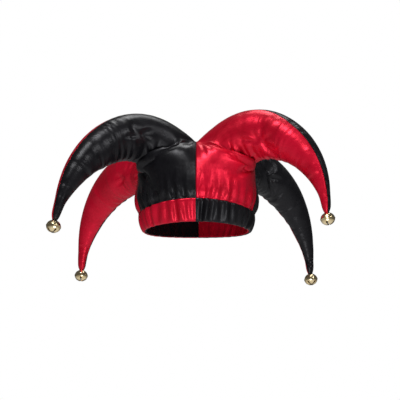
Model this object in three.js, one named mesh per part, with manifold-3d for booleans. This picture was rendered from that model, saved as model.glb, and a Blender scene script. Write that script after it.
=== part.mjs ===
// Jester hat with four stuffed horns, a gathered band and four jingle bells.
// Millimetres. +X is to the viewer's right when the front is seen, +Y is the back, +Z is up.
// The origin is the centre of the head opening, level with the rim at the sides.
import * as THREE from 'three';
import Module from 'manifold-3d';

// Cloth and seams
const SEAM_GAP = 0.3;
const HALF_GAP = SEAM_GAP / 2;
const CLOTH_WALL = 2.2;
const FACING_WALL = 1.5;
const FACING_GAP = 0.45;
const SEAM_LIP = 1.0;

// Head opening and band, as half sizes of ovals
const RIM = { halfWidth: 80, halfDepth: 82 };
const BAND_TOP = { halfWidth: 87, halfDepth: 91 };
const BAND_HEIGHT = 27;
const RIM_RISE = { front: 3, back: 4 };
const BAND_TOP_RISE = { front: 9, back: 2 };
const BAND_BULGE = 1.2;

// Crown
const CROWN = { halfWidth: 94, halfDepth: 96 };
const CROWN_WIDEST_HEIGHT = 54;
const SIDE_SEAM_ANGLE = 74;
const LOW_CROWN_SHARES = [0, 0.3, 0.65, 1];
const HIGH_CROWN_SHARES = [0.25, 0.5, 0.7, 0.88];
const INNER_COLUMNS = 10;
const NORMAL_STEP = 0.01;
const SAME_SHARE = 1e-9;

// Gathers
const GATHERS_PER_TURN = 36;
const GATHER_DEPTH = 0.6;
const GATHER_SECOND = 0.4;
const GATHER_SECOND_RATE = 23;
const GATHER_DRIFT = 1.3;
const GATHER_FADE = 0.5;
const END_FADE = 12;
const CROWN_COLUMNS = 30;

// Rows and columns of the band and its facing, from the front seam to the back seam
const BAND_SHARES = [0, 0.5, 1];
const BAND_COLUMNS = { outer: 64, inner: 16 };
const FACING_SHARES = [0, 0.5, 1, 1.35];
const FACING_COLUMNS = { outer: 20, inner: 20 };

// Where the horns spring from the crown, in the quarter's own X out, Y out, Z up
const ROOTS = {
  front: { valley: [HALF_GAP, 38, 131], fork: [83, 13, 99], bulge: [0.3, 0.93, -0.15] },
  back: { valley: [HALF_GAP, 42, 120], fork: [84, 16, 86], bulge: [0.3, 0.93, -0.15] },
};
const SADDLE_DIRECTION = [0.1, -0.95, 0.25];
const SADDLE_DIP = 4;
const SADDLE_TOP_HANDLE = [30, 0, 4];
const SADDLE_SIDE_HANDLE = [-4, 0, 16];
const SADDLE_INNER_COLUMNS = 8;
const STEM_COLUMNS = 6;
const STEM_GATHER_COLUMNS = 12;
const STEM_HANDLE = 0.36;

// Horns: side and end of the hat, azimuth from the side towards the end, length along the
// middle, rise at the root, fall at the tip, how early it bends, twist of the seams away
// from the middle of the hat, and girth against the section table. Angles are in degrees
const HORN_COLUMN_NAMES = [
  'name', 'side', 'end', 'azimuth', 'length', 'rise', 'fall', 'early', 'twist', 'girth',
];
const HORNS = [
  ['front_left', -1, 'front', 36, 259, 57.6, -75.8, 0.52, 14, 1.02],
  ['front_right', 1, 'front', 31.5, 243, 52.6, -86.8, 0.69, 38.4, 1.1],
  ['back_left', -1, 'back', 42.5, 279, 20.6, -87.7, 0.99, -18, 1.03],
  ['back_right', 1, 'back', 41.5, 269, 28.7, -87.5, 0.75, -24, 0.96],
].map((row) => Object.fromEntries(HORN_COLUMN_NAMES.map((key, index) => [key, row[index]])));
const ROOT_BLEND = 0.35;
const UNDER_JOIN = 0.3;
const UNDER_START = [0.8, 0.6, 0.1];
const TWIST_SHARE = 0.5;
const SPINE_STEPS = 160;

// Horn sections: share of the length, half width, half thickness outside and inside
const SECTIONS = [
  { share: 0, halfWidth: 44, outer: 50, inner: 22 },
  { share: 0.14, halfWidth: 40, outer: 38, inner: 28 },
  { share: 0.3, halfWidth: 36, outer: 32, inner: 29 },
  { share: 0.5, halfWidth: 30, outer: 26, inner: 25 },
  { share: 0.7, halfWidth: 21, outer: 18.5, inner: 18 },
  { share: 0.86, halfWidth: 12.5, outer: 11.5, inner: 11.5 },
  { share: 1, halfWidth: 5.6, outer: 5.2, inner: 5.2 },
];
const HORN_COLUMNS = 10;
const FLAT_WIDTHS = [0, 0.5, 1];
const SQUARE_SHARE = 0.6;
const SQUARE_FROM = 0.08;
const TIP_ROUNDING = { scale: 0.55, length: 2.5 };

// Folds pressed into the underside of each bend: share of the length and depth
const FOLDS = [
  { share: 0.05, depth: 2.2 },
  { share: 0.12, depth: 3.2 },
  { share: 0.19, depth: 3.4 },
  { share: 0.27, depth: 3.0 },
  { share: 0.35, depth: 2.4 },
  { share: 0.44, depth: 1.8 },
  { share: 0.54, depth: 1.2 },
];
const FOLD_AT_SEAM = 0.5;
const PLAIN_SHARES = [0.6, 0.68, 0.76, 0.84, 0.92, 1];

// Jingle bells
const BELL = { radius: 10.3, height: 18, wall: 1, sides: 12, rings: 7 };
const BELL_DROP = 0.45;
const BELL_SLOT = { width: 2.2, length: 17, depth: 10 };
const BELL_LOOP = { radius: 1.4, wire: 0.6, rise: 0.4 };
const PELLET_RADIUS = 2.6;

const COLOURS = { black: 0x1c1b1d, red: 0xc4122f, gold: 0xc9a24a, steel: 0x8d8f92 };

const radians = THREE.MathUtils.degToRad;
const clamp01 = (value) => Math.min(1, Math.max(0, value));
const mix = (a, b, share) => a + (b - a) * share;
const smooth = (value) => clamp01(value) ** 2 * (3 - 2 * clamp01(value));
const point = (x, y, z) => new THREE.Vector3(x, y, z);
const pointOf = (triple) => new THREE.Vector3(...triple);
const blend = (a, b, share) => a.clone().lerp(b, share);
const along = (a, direction, distance) => a.clone().addScaledVector(direction, distance);

// A closed faceted solid, built from rows that each have an outer and an inner side
class Solid {
  constructor() {
    this.points = [];
    this.faces = [];
  }

  line(points) {
    return points.map((position, index) => {
      this.points.push(position);
      return { index: this.points.length - 1, share: index / (points.length - 1) };
    });
  }

  face(a, b, c, reversed = false) {
    this.faces.push(reversed ? [a, c, b] : [a, b, c]);
  }

  // Triangles between two lines of points that run side by side
  strip(lower, upper, { reversed = false, upperFirst = false } = {}) {
    let a = 0;
    let b = 0;
    while (a < lower.length - 1 || b < upper.length - 1) {
      const nextLower = a < lower.length - 1 ? lower[a + 1].share : Infinity;
      const nextUpper = b < upper.length - 1 ? upper[b + 1].share : Infinity;
      const level = Math.abs(nextLower - nextUpper) < SAME_SHARE;
      const takeLower = level ? !upperFirst : nextLower < nextUpper;
      if (takeLower) {
        this.face(lower[a].index, lower[a + 1].index, upper[b].index, reversed);
        a += 1;
      } else {
        this.face(lower[a].index, upper[b + 1].index, upper[b].index, reversed);
        b += 1;
      }
    }
  }

  quad(a, b, c, d) {
    this.face(a.index, b.index, c.index);
    this.face(a.index, c.index, d.index);
  }

  // Walls between two rows: outside, inside and the two seam edges
  between(lower, upper, { upperFirst = false, farEdge = true } = {}) {
    this.strip(lower.outer, upper.outer, { upperFirst });
    this.strip(lower.inner, upper.inner, { upperFirst, reversed: true });
    this.quad(lower.outer[0], upper.outer[0], upper.inner[0], lower.inner[0]);
    if (farEdge) {
      this.quad(upper.outer.at(-1), lower.outer.at(-1), lower.inner.at(-1), upper.inner.at(-1));
    }
  }

  capFirst(row) {
    this.strip(row.inner, row.outer);
  }

  capLast(row) {
    this.strip(row.outer, row.inner);
  }

  mesh(name, colour, side = 1) {
    const corners = this.points.map((p) => point(side * Math.max(p.x, HALF_GAP), p.y, p.z));
    let volume = 0;
    for (const [a, b, c] of this.faces) {
      volume += corners[a].dot(corners[b].clone().cross(corners[c])) / 6;
    }
    const positions = [];
    for (const [a, b, c] of this.faces) {
      const order = volume > 0 ? [a, b, c] : [a, c, b];
      for (const index of order) positions.push(...corners[index].toArray());
    }
    return meshOf(name, positions, colour);
  }
}

function meshOf(name, positions, colour, metalness = 0) {
  const geometry = new THREE.BufferGeometry();
  geometry.setAttribute('position', new THREE.Float32BufferAttribute(positions, 3));
  geometry.computeVertexNormals();
  const material = new THREE.MeshStandardMaterial({ color: colour, metalness, roughness: 0.5 });
  const mesh = new THREE.Mesh(geometry, material);
  mesh.name = name;
  return mesh;
}

// Cubic curve between two seam points, with a handle at each
function arcPoint(row, share) {
  const rest = 1 - share;
  return point(0, 0, 0)
    .addScaledVector(row.start, rest ** 3 + 3 * rest * rest * share)
    .addScaledVector(row.startHandle, 3 * rest * rest * share)
    .addScaledVector(row.end, share ** 3 + 3 * rest * share * share)
    .addScaledVector(row.endHandle, 3 * rest * share * share);
}

function arcPoints(row, columns) {
  return Array.from({ length: columns + 1 }, (_, index) => arcPoint(row, index / columns));
}

// Head oval: angle from straight ahead (or straight back), in degrees
function ovalPoint(oval, angle, height) {
  const turn = radians(angle);
  return point(oval.halfWidth * Math.sin(turn), oval.halfDepth * Math.cos(turn), height);
}

function ovalNormal(oval, angle) {
  const turn = radians(angle);
  return point(Math.sin(turn) / oval.halfWidth, Math.cos(turn) / oval.halfDepth, 0).normalize();
}

const mixOval = (a, b, share) => ({
  halfWidth: mix(a.halfWidth, b.halfWidth, share),
  halfDepth: mix(a.halfDepth, b.halfDepth, share),
});

// A turn round the hat: 0 is the front, 90 the side, 180 the back, in degrees
function placeAtTurn(turn) {
  const atFront = turn <= 90;
  return { end: atFront ? 'front' : 'back', angle: atFront ? turn : 180 - turn, sign: atFront ? -1 : 1 };
}

function riseAt(rises, turn) {
  const { end, angle } = placeAtTurn(turn);
  return rises[end] * Math.cos(radians(angle)) ** 2;
}

const rimHeight = (turn) => riseAt(RIM_RISE, turn);
const bandTopHeight = (turn) => BAND_HEIGHT + riseAt(BAND_TOP_RISE, turn);

// Point of an oval ring, moved square to it by the offset
function ringPoint(oval, turn, height, offset) {
  const { angle, sign } = placeAtTurn(turn);
  const p = along(ovalPoint(oval, angle, height), ovalNormal(oval, angle), offset);
  return point(p.x, sign * p.y, p.z);
}

// Small radial waves of the gathered cloth; the left side has negative turns
function gather(turn) {
  const angle = radians(turn);
  const main = Math.sin(GATHERS_PER_TURN * angle + GATHER_DRIFT * Math.sin(3 * angle));
  const second = GATHER_SECOND * Math.cos(GATHER_SECOND_RATE * angle);
  return GATHER_DEPTH * (main + second);
}

// Band: height share 0 at the rim, 1 at the crown seam
function bandPoint(turn, share, offset) {
  const height = mix(rimHeight(turn), bandTopHeight(turn) - HALF_GAP, share);
  const swell = BAND_BULGE * Math.sin(Math.PI * share);
  return ringPoint(mixOval(RIM, BAND_TOP, share), turn, height, swell + offset);
}

// Lowest zone of the crown: share 0 at the band seam, 1 at the widest height
function lowCrownPoint(turn, share, offset) {
  const oval = mixOval(BAND_TOP, CROWN, Math.sin((Math.PI / 2) * share));
  const height = mix(bandTopHeight(turn) + HALF_GAP, CROWN_WIDEST_HEIGHT, share);
  return ringPoint(oval, turn, height, offset);
}

// Middle seam and side seam of a quarter, from the widest height up to the horn's root
function midSeamPoint(end, share) {
  const [x, depth, height] = ROOTS[end].valley;
  const turn = (Math.PI / 2) * share;
  return point(
    x,
    mix(depth, CROWN.halfDepth, Math.cos(turn)),
    mix(CROWN_WIDEST_HEIGHT, height, Math.sin(turn)),
  );
}

function sideSeamPoint(end, share) {
  const fork = pointOf(ROOTS[end].fork);
  const base = ovalPoint(CROWN, SIDE_SEAM_ANGLE, CROWN_WIDEST_HEIGHT);
  return point(
    mix(base.x, fork.x, share ** 2),
    mix(base.y, fork.y, smooth(share)),
    mix(base.z, fork.z, share),
  );
}

// Handles that make a cubic curve follow an oval from the middle seam to the side seam
function ovalHandles(oval) {
  const turn = radians(SIDE_SEAM_ANGLE);
  const reach = (4 / 3) * Math.tan(turn / 4);
  const sideways = -oval.halfWidth * Math.cos(turn);
  return {
    startHandle: point(oval.halfWidth, 0, 0).multiplyScalar(reach),
    endHandle: point(sideways, oval.halfDepth * Math.sin(turn), 0).multiplyScalar(reach),
  };
}

// One row of a quarter of the crown, share 0 at the widest height, 1 at the root
function crownArc(end, share) {
  const handles = ovalHandles(CROWN);
  const root = pointOf(ROOTS[end].bulge).normalize().multiplyScalar((4 / 3) * SECTIONS[0].outer);
  const blendShare = smooth(share);
  return {
    start: midSeamPoint(end, share),
    end: sideSeamPoint(end, share),
    startHandle: blend(handles.startHandle, root, blendShare),
    endHandle: blend(handles.endHandle, root, blendShare),
  };
}

function crownNormal(end, share, column) {
  const step = NORMAL_STEP;
  const across = arcPoint(crownArc(end, share), Math.min(1, column + step))
    .sub(arcPoint(crownArc(end, share), Math.max(0, column - step)));
  const up = arcPoint(crownArc(end, Math.min(1, share + step)), column)
    .sub(arcPoint(crownArc(end, Math.max(0, share - step)), column));
  const normal = up.cross(across);
  if (column === 0) normal.x = 0;
  if (column === 1) return ovalNormal(CROWN, SIDE_SEAM_ANGLE);
  return normal.normalize();
}

// Values of the section table at any share of the length, as a smooth curve
function tableAt(share, key) {
  let index = SECTIONS.findIndex((row) => row.share >= share) - 1;
  index = Math.min(Math.max(index, 0), SECTIONS.length - 2);
  const slope = (a, b) => (SECTIONS[b][key] - SECTIONS[a][key]) / (SECTIONS[b].share - SECTIONS[a].share);
  const slopeAt = (row) => {
    const before = row > 0 ? slope(row - 1, row) : slope(0, 1);
    const after = row < SECTIONS.length - 1 ? slope(row, row + 1) : before;
    return (before + after) / 2;
  };
  const [low, high] = [SECTIONS[index], SECTIONS[index + 1]];
  const span = high.share - low.share;
  const t = (share - low.share) / span;
  return (2 * t ** 3 - 3 * t ** 2 + 1) * low[key]
    + (t ** 3 - 2 * t ** 2 + t) * span * slopeAt(index)
    + (3 * t ** 2 - 2 * t ** 3) * high[key]
    + (t ** 3 - t ** 2) * span * slopeAt(index + 1);
}

// A horn's own size at a share of its length: its girth sets in after the root
function sectionAt(horn, share, key) {
  return tableAt(share, key) * mix(1, horn.girth, smooth(share / ROOT_BLEND));
}

// Middle line of a horn: its direction turns from the rise to the fall
function hornSpine(horn) {
  const root = ROOTS[horn.end];
  const outward = point(Math.cos(radians(horn.azimuth)), Math.sin(radians(horn.azimuth)), 0);
  const directionAt = (share) => {
    const slope = radians(mix(horn.rise, horn.fall, share ** horn.early));
    return outward.clone().multiplyScalar(Math.cos(slope)).add(point(0, 0, Math.sin(slope)));
  };
  const centres = [blend(pointOf(root.valley), pointOf(root.fork), 0.5)];
  for (let step = 0; step < SPINE_STEPS; step += 1) {
    const middle = (step + 0.5) / SPINE_STEPS;
    centres.push(along(centres[step], directionAt(middle), horn.length / SPINE_STEPS));
  }
  const centreAt = (share) => {
    const place = clamp01(share) * SPINE_STEPS;
    const index = Math.min(Math.floor(place), SPINE_STEPS - 1);
    return blend(centres[index], centres[index + 1], place - index);
  };
  return { outward, directionAt, centreAt };
}

// One section square to the middle line: its two seam points and the way it bulges
function squareSection(horn, spine, share) {
  const root = ROOTS[horn.end];
  const direction = spine.directionAt(share);
  const sideways = point(-spine.outward.y, spine.outward.x, 0);
  const upward = sideways.clone().cross(direction).negate();
  const twist = radians(horn.twist) * clamp01(share / TWIST_SHARE);
  upward.applyAxisAngle(direction, -twist);
  sideways.applyAxisAngle(direction, -twist);
  const rootUp = pointOf(root.valley).sub(pointOf(root.fork));
  const rootHalfWidth = rootUp.length() / 2;
  const turned = smooth(share / ROOT_BLEND);
  const seamDirection = blend(rootUp.normalize(), upward, turned).normalize();
  const widening = (1 - clamp01(share / UNDER_JOIN)) ** 2;
  const rootShare = mix(1, rootHalfWidth / SECTIONS[0].halfWidth, widening);
  const halfWidth = sectionAt(horn, share, 'halfWidth') * rootShare;
  const centre = spine.centreAt(share);
  return {
    top: along(centre, seamDirection, halfWidth),
    under: along(centre, seamDirection, -halfWidth),
    bulge: blend(pointOf(root.bulge).normalize(), sideways, turned),
  };
}

// The section used for a row. Near the root the under seam runs smoothly out of the fork,
// so that the rows don't cross inside the bend
function hornSection(horn, spine, share) {
  const section = squareSection(horn, spine, share);
  if (share < UNDER_JOIN) {
    const fork = pointOf(ROOTS[horn.end].fork);
    const join = squareSection(horn, spine, UNDER_JOIN).under;
    const before = squareSection(horn, spine, UNDER_JOIN - NORMAL_STEP).under;
    const reach = fork.distanceTo(join) / 3;
    const outward = pointOf(UNDER_START).normalize();
    section.under = arcPoint({
      start: fork,
      startHandle: outward.multiplyScalar(reach),
      end: join,
      endHandle: before.sub(join).normalize().multiplyScalar(reach),
    }, share / UNDER_JOIN);
  }
  const seamDirection = section.top.clone().sub(section.under).normalize();
  section.bulge.addScaledVector(seamDirection, -section.bulge.dot(seamDirection)).normalize();
  return { ...section, seamDirection, direction: spine.directionAt(share) };
}

// Shares of the length that get a row, with the fold's depth there
function hornRows() {
  const rows = [{ share: 0, depth: 0 }];
  FOLDS.forEach((fold, index) => {
    rows.push({ share: fold.share, depth: fold.depth });
    if (index < FOLDS.length - 1) {
      rows.push({ share: (fold.share + FOLDS[index + 1].share) / 2, depth: 0 });
    }
  });
  PLAIN_SHARES.forEach((share) => rows.push({ share, depth: 0 }));
  rows.push({ share: 1, depth: 0, tip: true });
  return rows;
}

// Direction square to the ruled surface between the two seams, at a share of its width
function flatNormal(horn, spine, share, width) {
  const before = hornSection(horn, spine, Math.max(0, share - NORMAL_STEP));
  const after = hornSection(horn, spine, Math.min(1, share + NORMAL_STEP));
  const onward = blend(after.top, after.under, width).sub(blend(before.top, before.under, width));
  return hornSection(horn, spine, share).seamDirection.cross(onward).normalize();
}

// One horn row, for the outer panel (key outer) or the gusset's side (key inner)
function hornRow(solid, horn, spine, row, key, sign) {
  const section = hornSection(horn, spine, row.share);
  const middle = blend(section.top, section.under, 0.5);
  const scale = row.tip ? TIP_ROUNDING.scale : 1;
  const onward = section.direction.clone().multiplyScalar(row.tip ? TIP_ROUNDING.length : 0);
  const top = blend(middle, section.top, scale).add(onward);
  const under = along(blend(middle, section.under, scale), section.seamDirection, row.depth * FOLD_AT_SEAM);
  under.add(onward);
  const facing = key === 'outer' ? 1 : -1;
  const rootSide = key === 'outer' ? section.bulge : pointOf(SADDLE_DIRECTION).normalize();
  const side = section.bulge.clone().multiplyScalar(facing);
  const swell = blend(rootSide, side, smooth(row.share / ROOT_BLEND)).normalize();
  const normals = FLAT_WIDTHS.map((width) => (
    flatNormal(horn, spine, row.share, width).multiplyScalar(facing)
  ));
  const squareness = SQUARE_SHARE * smooth(row.share / SQUARE_FROM);
  const startSwell = blend(swell, normals[0], squareness).normalize();
  const endSwell = blend(swell, normals.at(-1), squareness).normalize();
  const thickness = sectionAt(horn, row.share, key) * scale;
  const flat = FLAT_WIDTHS.map((width, index) => along(blend(top, under, width), normals[index], HALF_GAP));
  const arc = {
    start: along(flat[0], startSwell, SEAM_LIP),
    end: along(flat.at(-1), endSwell, SEAM_LIP),
    startHandle: startSwell.clone().multiplyScalar((4 / 3) * thickness),
    endHandle: endSwell.clone().multiplyScalar((4 / 3) * (thickness - row.depth)),
  };
  const place = (p) => point(p.x, sign * p.y, p.z);
  return {
    outer: solid.line(arcPoints(arc, HORN_COLUMNS).map(place)),
    inner: solid.line(flat.map(place)),
  };
}

// Sideways step that opens half a seam beside the side seam, in the quarter's own X and Y
const SIDE_SEAM_SHIFT = ovalNormal(CROWN, SIDE_SEAM_ANGLE + 90).multiplyScalar(-HALF_GAP);

// A row of the low crown between two turns, with the gathers fading at its ends
function lowCrownRow(solid, turns, side, share, columns, innerColumns, shiftAt) {
  const shape = (count, offsetAt) => Array.from({ length: count + 1 }, (_, index) => {
    const column = index / count;
    const turn = mix(turns.from, turns.to, column);
    return lowCrownPoint(turn, share, offsetAt(turn, column)).add(shiftAt(column));
  });
  const strength = 1 - GATHER_FADE * share;
  const fade = (column) => smooth(END_FADE * Math.min(column, 1 - column));
  const wave = (turn, column) => strength * fade(column) * gather(side * turn);
  return {
    outer: solid.line(shape(columns, wave)),
    inner: solid.line(shape(innerColumns, () => -CLOTH_WALL)),
  };
}

// Panel that covers a quarter of the crown and the outer half of its horn
function quarterPanel(horn, colour) {
  const solid = new Solid();
  const sign = horn.end === 'front' ? -1 : 1;
  const place = (p) => point(p.x, sign * p.y, p.z);
  const shiftAt = (column) => SIDE_SEAM_SHIFT.clone().multiplyScalar(column);
  const turns = horn.end === 'front'
    ? { from: 0, to: SIDE_SEAM_ANGLE }
    : { from: 180, to: 180 - SIDE_SEAM_ANGLE };
  const rows = LOW_CROWN_SHARES.map((share) => lowCrownRow(
    solid, turns, horn.side, share, CROWN_COLUMNS, INNER_COLUMNS, (column) => place(shiftAt(column)),
  ));
  for (const share of HIGH_CROWN_SHARES) {
    const arc = crownArc(horn.end, share);
    const outer = arcPoints(arc, HORN_COLUMNS);
    const inner = arcPoints(arc, INNER_COLUMNS).map((p, index) => (
      along(p, crownNormal(horn.end, share, index / INNER_COLUMNS), -CLOTH_WALL)
    ));
    rows.push({
      outer: solid.line(outer.map((p, index) => place(p.add(shiftAt(index / HORN_COLUMNS))))),
      inner: solid.line(inner.map((p, index) => place(p.add(shiftAt(index / INNER_COLUMNS))))),
    });
  }
  const spine = hornSpine(horn);
  for (const row of hornRows()) rows.push(hornRow(solid, horn, spine, row, 'outer', sign));
  for (let index = 1; index < rows.length; index += 1) solid.between(rows[index - 1], rows[index]);
  solid.capFirst(rows[0]);
  solid.capLast(rows.at(-1));
  return solid.mesh(`panel_${horn.name}`, colour, horn.side);
}

// Row of the gusset's stem between its two side seams, share 0 at the widest height
function stemArc(share) {
  const front = sideSeamPoint('front', share);
  const back = sideSeamPoint('back', share);
  const start = point(front.x, -front.y, front.z);
  const end = point(back.x, back.y, back.z);
  const reach = STEM_HANDLE * start.distanceTo(end);
  return {
    start,
    end,
    startHandle: point(0.25, 0.97, 0).multiplyScalar(reach),
    endHandle: point(0.25, -0.97, 0).multiplyScalar(reach),
  };
}

function stemShift(column) {
  const { x, y } = SIDE_SEAM_SHIFT;
  return point(-x, y * (1 - 2 * column), 0);
}

function stemRow(solid, share) {
  const seam = ovalNormal(CROWN, SIDE_SEAM_ANGLE);
  const arc = stemArc(share);
  const shape = (count, inset) => arcPoints(arc, count).map((p, index) => {
    const column = index / count;
    const normal = point(seam.x, mix(-seam.y, seam.y, column), 0).normalize();
    return along(p, normal, -inset).add(stemShift(column));
  });
  return { outer: solid.line(shape(STEM_COLUMNS, 0)), inner: solid.line(shape(STEM_COLUMNS, CLOTH_WALL)) };
}

// Rows of the saddle between the front and back horn, from the top ridge to the stem
function saddleArc(share, frontEnds, backEnds) {
  const top = stemArc(1);
  const start = blend(frontEnds.start, backEnds.start, share);
  start.z -= SADDLE_DIP * 4 * share * (1 - share);
  const end = arcPoint({ ...top, start: frontEnds.end, end: backEnds.end }, share);
  const flow = pointOf(SADDLE_DIRECTION).normalize().multiplyScalar((4 / 3) * SECTIONS[0].inner);
  const frontFlow = point(flow.x, -flow.y, flow.z);
  const turning = blend(frontFlow, flow, share);
  const middle = Math.sin(Math.PI * share);
  return {
    start,
    end,
    startHandle: blend(turning, point(...SADDLE_TOP_HANDLE), middle),
    endHandle: blend(turning, point(...SADDLE_SIDE_HANDLE), middle),
  };
}

// Gusset: the inner halves of a front and a back horn, the saddle between them and the stem
function gusset(frontHorn, backHorn, colour) {
  const solid = new Solid();
  const shares = hornRows();
  const frontSpine = hornSpine(frontHorn);
  const backSpine = hornSpine(backHorn);
  const frontRows = shares.map((row) => hornRow(solid, frontHorn, frontSpine, row, 'inner', -1));
  const backRows = shares.map((row) => hornRow(solid, backHorn, backSpine, row, 'inner', 1));
  for (let index = 1; index < shares.length; index += 1) {
    solid.between(frontRows[index], frontRows[index - 1], { upperFirst: true });
    solid.between(backRows[index - 1], backRows[index]);
  }
  solid.capFirst(frontRows.at(-1));
  solid.capLast(backRows.at(-1));

  const rootEnds = (row) => ({
    start: solid.points[row.outer[0].index],
    end: solid.points[row.outer.at(-1).index],
  });
  const frontEnds = rootEnds(frontRows[0]);
  const backEnds = rootEnds(backRows[0]);
  const surface = (share, column) => arcPoint(saddleArc(share, frontEnds, backEnds), column);
  const saddle = [frontRows[0]];
  for (let step = 1; step < STEM_COLUMNS; step += 1) {
    const share = step / STEM_COLUMNS;
    const arc = saddleArc(share, frontEnds, backEnds);
    const inner = arcPoints(arc, SADDLE_INNER_COLUMNS).map((p, index) => {
      const column = index / SADDLE_INNER_COLUMNS;
      const low = Math.max(0, column - NORMAL_STEP);
      const high = Math.min(1, column + NORMAL_STEP);
      const across = surface(share, high).sub(surface(share, low));
      const onward = surface(share + NORMAL_STEP, column).sub(surface(share - NORMAL_STEP, column));
      const normal = across.cross(onward);
      if (column === 0) normal.x = 0;
      return along(p, normal.normalize(), -CLOTH_WALL);
    });
    saddle.push({ outer: solid.line(arcPoints(arc, HORN_COLUMNS)), inner: solid.line(inner) });
  }
  saddle.push(backRows[0]);
  for (let index = 1; index < saddle.length; index += 1) {
    solid.between(saddle[index - 1], saddle[index], { farEdge: false });
  }

  const turns = { from: SIDE_SEAM_ANGLE, to: 180 - SIDE_SEAM_ANGLE };
  const stem = LOW_CROWN_SHARES.map((share) => lowCrownRow(
    solid, turns, frontHorn.side, share, STEM_GATHER_COLUMNS, STEM_COLUMNS, stemShift,
  ));
  HIGH_CROWN_SHARES.forEach((share) => stem.push(stemRow(solid, share)));
  const ends = (key) => saddle.map((row, index) => ({
    index: row[key].at(-1).index,
    share: index / STEM_COLUMNS,
  }));
  stem.push({ outer: ends('outer'), inner: ends('inner') });
  for (let index = 1; index < stem.length; index += 1) solid.between(stem[index - 1], stem[index]);
  solid.capFirst(stem[0]);
  const sideName = frontHorn.side < 0 ? 'left' : 'right';
  return solid.mesh(`gusset_${sideName}`, colour, frontHorn.side);
}

// Half of a ring of cloth from the front seam to the back seam, given one point function
function ringHalf(name, colour, side, shares, columns, outerAt, innerAt) {
  const solid = new Solid();
  const rows = shares.map((share) => {
    const shape = (count, pointAt) => Array.from({ length: count + 1 }, (_, index) => (
      pointAt((180 * index) / count, share)
    ));
    return {
      outer: solid.line(shape(columns.outer, outerAt)),
      inner: solid.line(shape(columns.inner, innerAt)),
    };
  });
  for (let index = 1; index < rows.length; index += 1) solid.between(rows[index - 1], rows[index]);
  solid.capFirst(rows[0]);
  solid.capLast(rows.at(-1));
  return solid.mesh(name, colour, side);
}

function bandHalf(name, colour, side) {
  const fade = (turn) => smooth(END_FADE * Math.min(turn, 180 - turn) / 180);
  return ringHalf(
    `band_${name}`, colour, side, BAND_SHARES, BAND_COLUMNS,
    (turn, share) => bandPoint(turn, share, fade(turn) * gather(side * turn)),
    (turn, share) => bandPoint(turn, share, -CLOTH_WALL),
  );
}

// Inner facing: it lines the band and reaches a little way up inside the crown
function facingHalf(name, colour, side) {
  const inset = CLOTH_WALL + FACING_GAP;
  const pointAt = (turn, share, depth) => (share <= 1
    ? bandPoint(turn, share, -depth)
    : lowCrownPoint(turn, share - 1, -depth));
  return ringHalf(
    `facing_${name}`, colour, side, FACING_SHARES, FACING_COLUMNS,
    (turn, share) => pointAt(turn, share, inset),
    (turn, share) => pointAt(turn, share, inset + FACING_WALL),
  );
}

// Jingle bells
const wasm = await Module();
wasm.setup();

// Closed manifold body from a three.js geometry, with its doubled points joined
function bodyOf(geometry) {
  const position = geometry.getAttribute('position');
  const known = new Map();
  const corners = [];
  const indexOf = Array.from({ length: position.count }, (_, index) => {
    const p = new THREE.Vector3().fromBufferAttribute(position, index);
    const key = p.toArray().map((value) => Math.round(value * 1e4)).join();
    if (!known.has(key)) {
      known.set(key, known.size);
      corners.push(...p.toArray());
    }
    return known.get(key);
  });
  const triangles = [];
  const source = geometry.index.array;
  for (let first = 0; first < source.length; first += 3) {
    const [a, b, c] = [0, 1, 2].map((offset) => indexOf[source[first + offset]]);
    if (a !== b && b !== c && c !== a) triangles.push(a, b, c);
  }
  return new wasm.Manifold(new wasm.Mesh({
    numProp: 3,
    vertProperties: new Float32Array(corners),
    triVerts: new Uint32Array(triangles),
  }));
}

function bellBody() {
  const ball = (inset, sides, rings) => {
    const geometry = new THREE.SphereGeometry(BELL.radius - inset, sides, rings).rotateX(Math.PI / 2);
    return bodyOf(geometry.scale(1, 1, (BELL.height / 2 - inset) / (BELL.radius - inset)));
  };
  const slot = (length, width) => {
    const box = new THREE.BoxGeometry(length, width, BELL_SLOT.depth);
    return bodyOf(box.translate(0, 0, -BELL.height / 2));
  };
  const loop = new THREE.TorusGeometry(BELL_LOOP.radius, BELL_LOOP.wire, 5, 8).rotateX(Math.PI / 2);
  return ball(0, BELL.sides, BELL.rings)
    .subtract(ball(BELL.wall, BELL.sides, BELL.rings - 1))
    .subtract(slot(BELL_SLOT.length, BELL_SLOT.width))
    .subtract(slot(BELL_SLOT.width, BELL_SLOT.length))
    .add(bodyOf(loop.translate(0, 0, BELL.height / 2 + BELL_LOOP.rise)));
}

function trianglesOf(body) {
  const { vertProperties, triVerts, numProp } = body.getMesh();
  return Array.from(triVerts).flatMap((index) => (
    Array.from(vertProperties.slice(index * numProp, index * numProp + 3))
  ));
}

function bellCentre(horn) {
  const spine = hornSpine(horn);
  const tip = along(spine.centreAt(1), spine.directionAt(1), TIP_ROUNDING.length);
  const loopTop = BELL.height / 2 + BELL_LOOP.rise + BELL_LOOP.radius + BELL_LOOP.wire;
  return point(horn.side * tip.x, horn.end === 'front' ? -tip.y : tip.y, tip.z - BELL_DROP - loopTop);
}

function bell(horn, body) {
  const { x, y, z } = bellCentre(horn);
  const mesh = meshOf(`bell_${horn.name}`, trianglesOf(body), COLOURS.gold, 1);
  mesh.geometry.translate(x, y, z);
  return mesh;
}

// Loose pellet that lies on the bottom of its bell
function pellet(horn) {
  const { x, y, z } = bellCentre(horn);
  const rest = z - BELL.height / 2 + BELL.wall + SEAM_GAP + PELLET_RADIUS;
  const geometry = new THREE.IcosahedronGeometry(PELLET_RADIUS, 1).translate(x, y, rest);
  const corners = Array.from(geometry.getAttribute('position').array);
  return meshOf(`pellet_${horn.name}`, corners, COLOURS.steel, 1);
}

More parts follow.
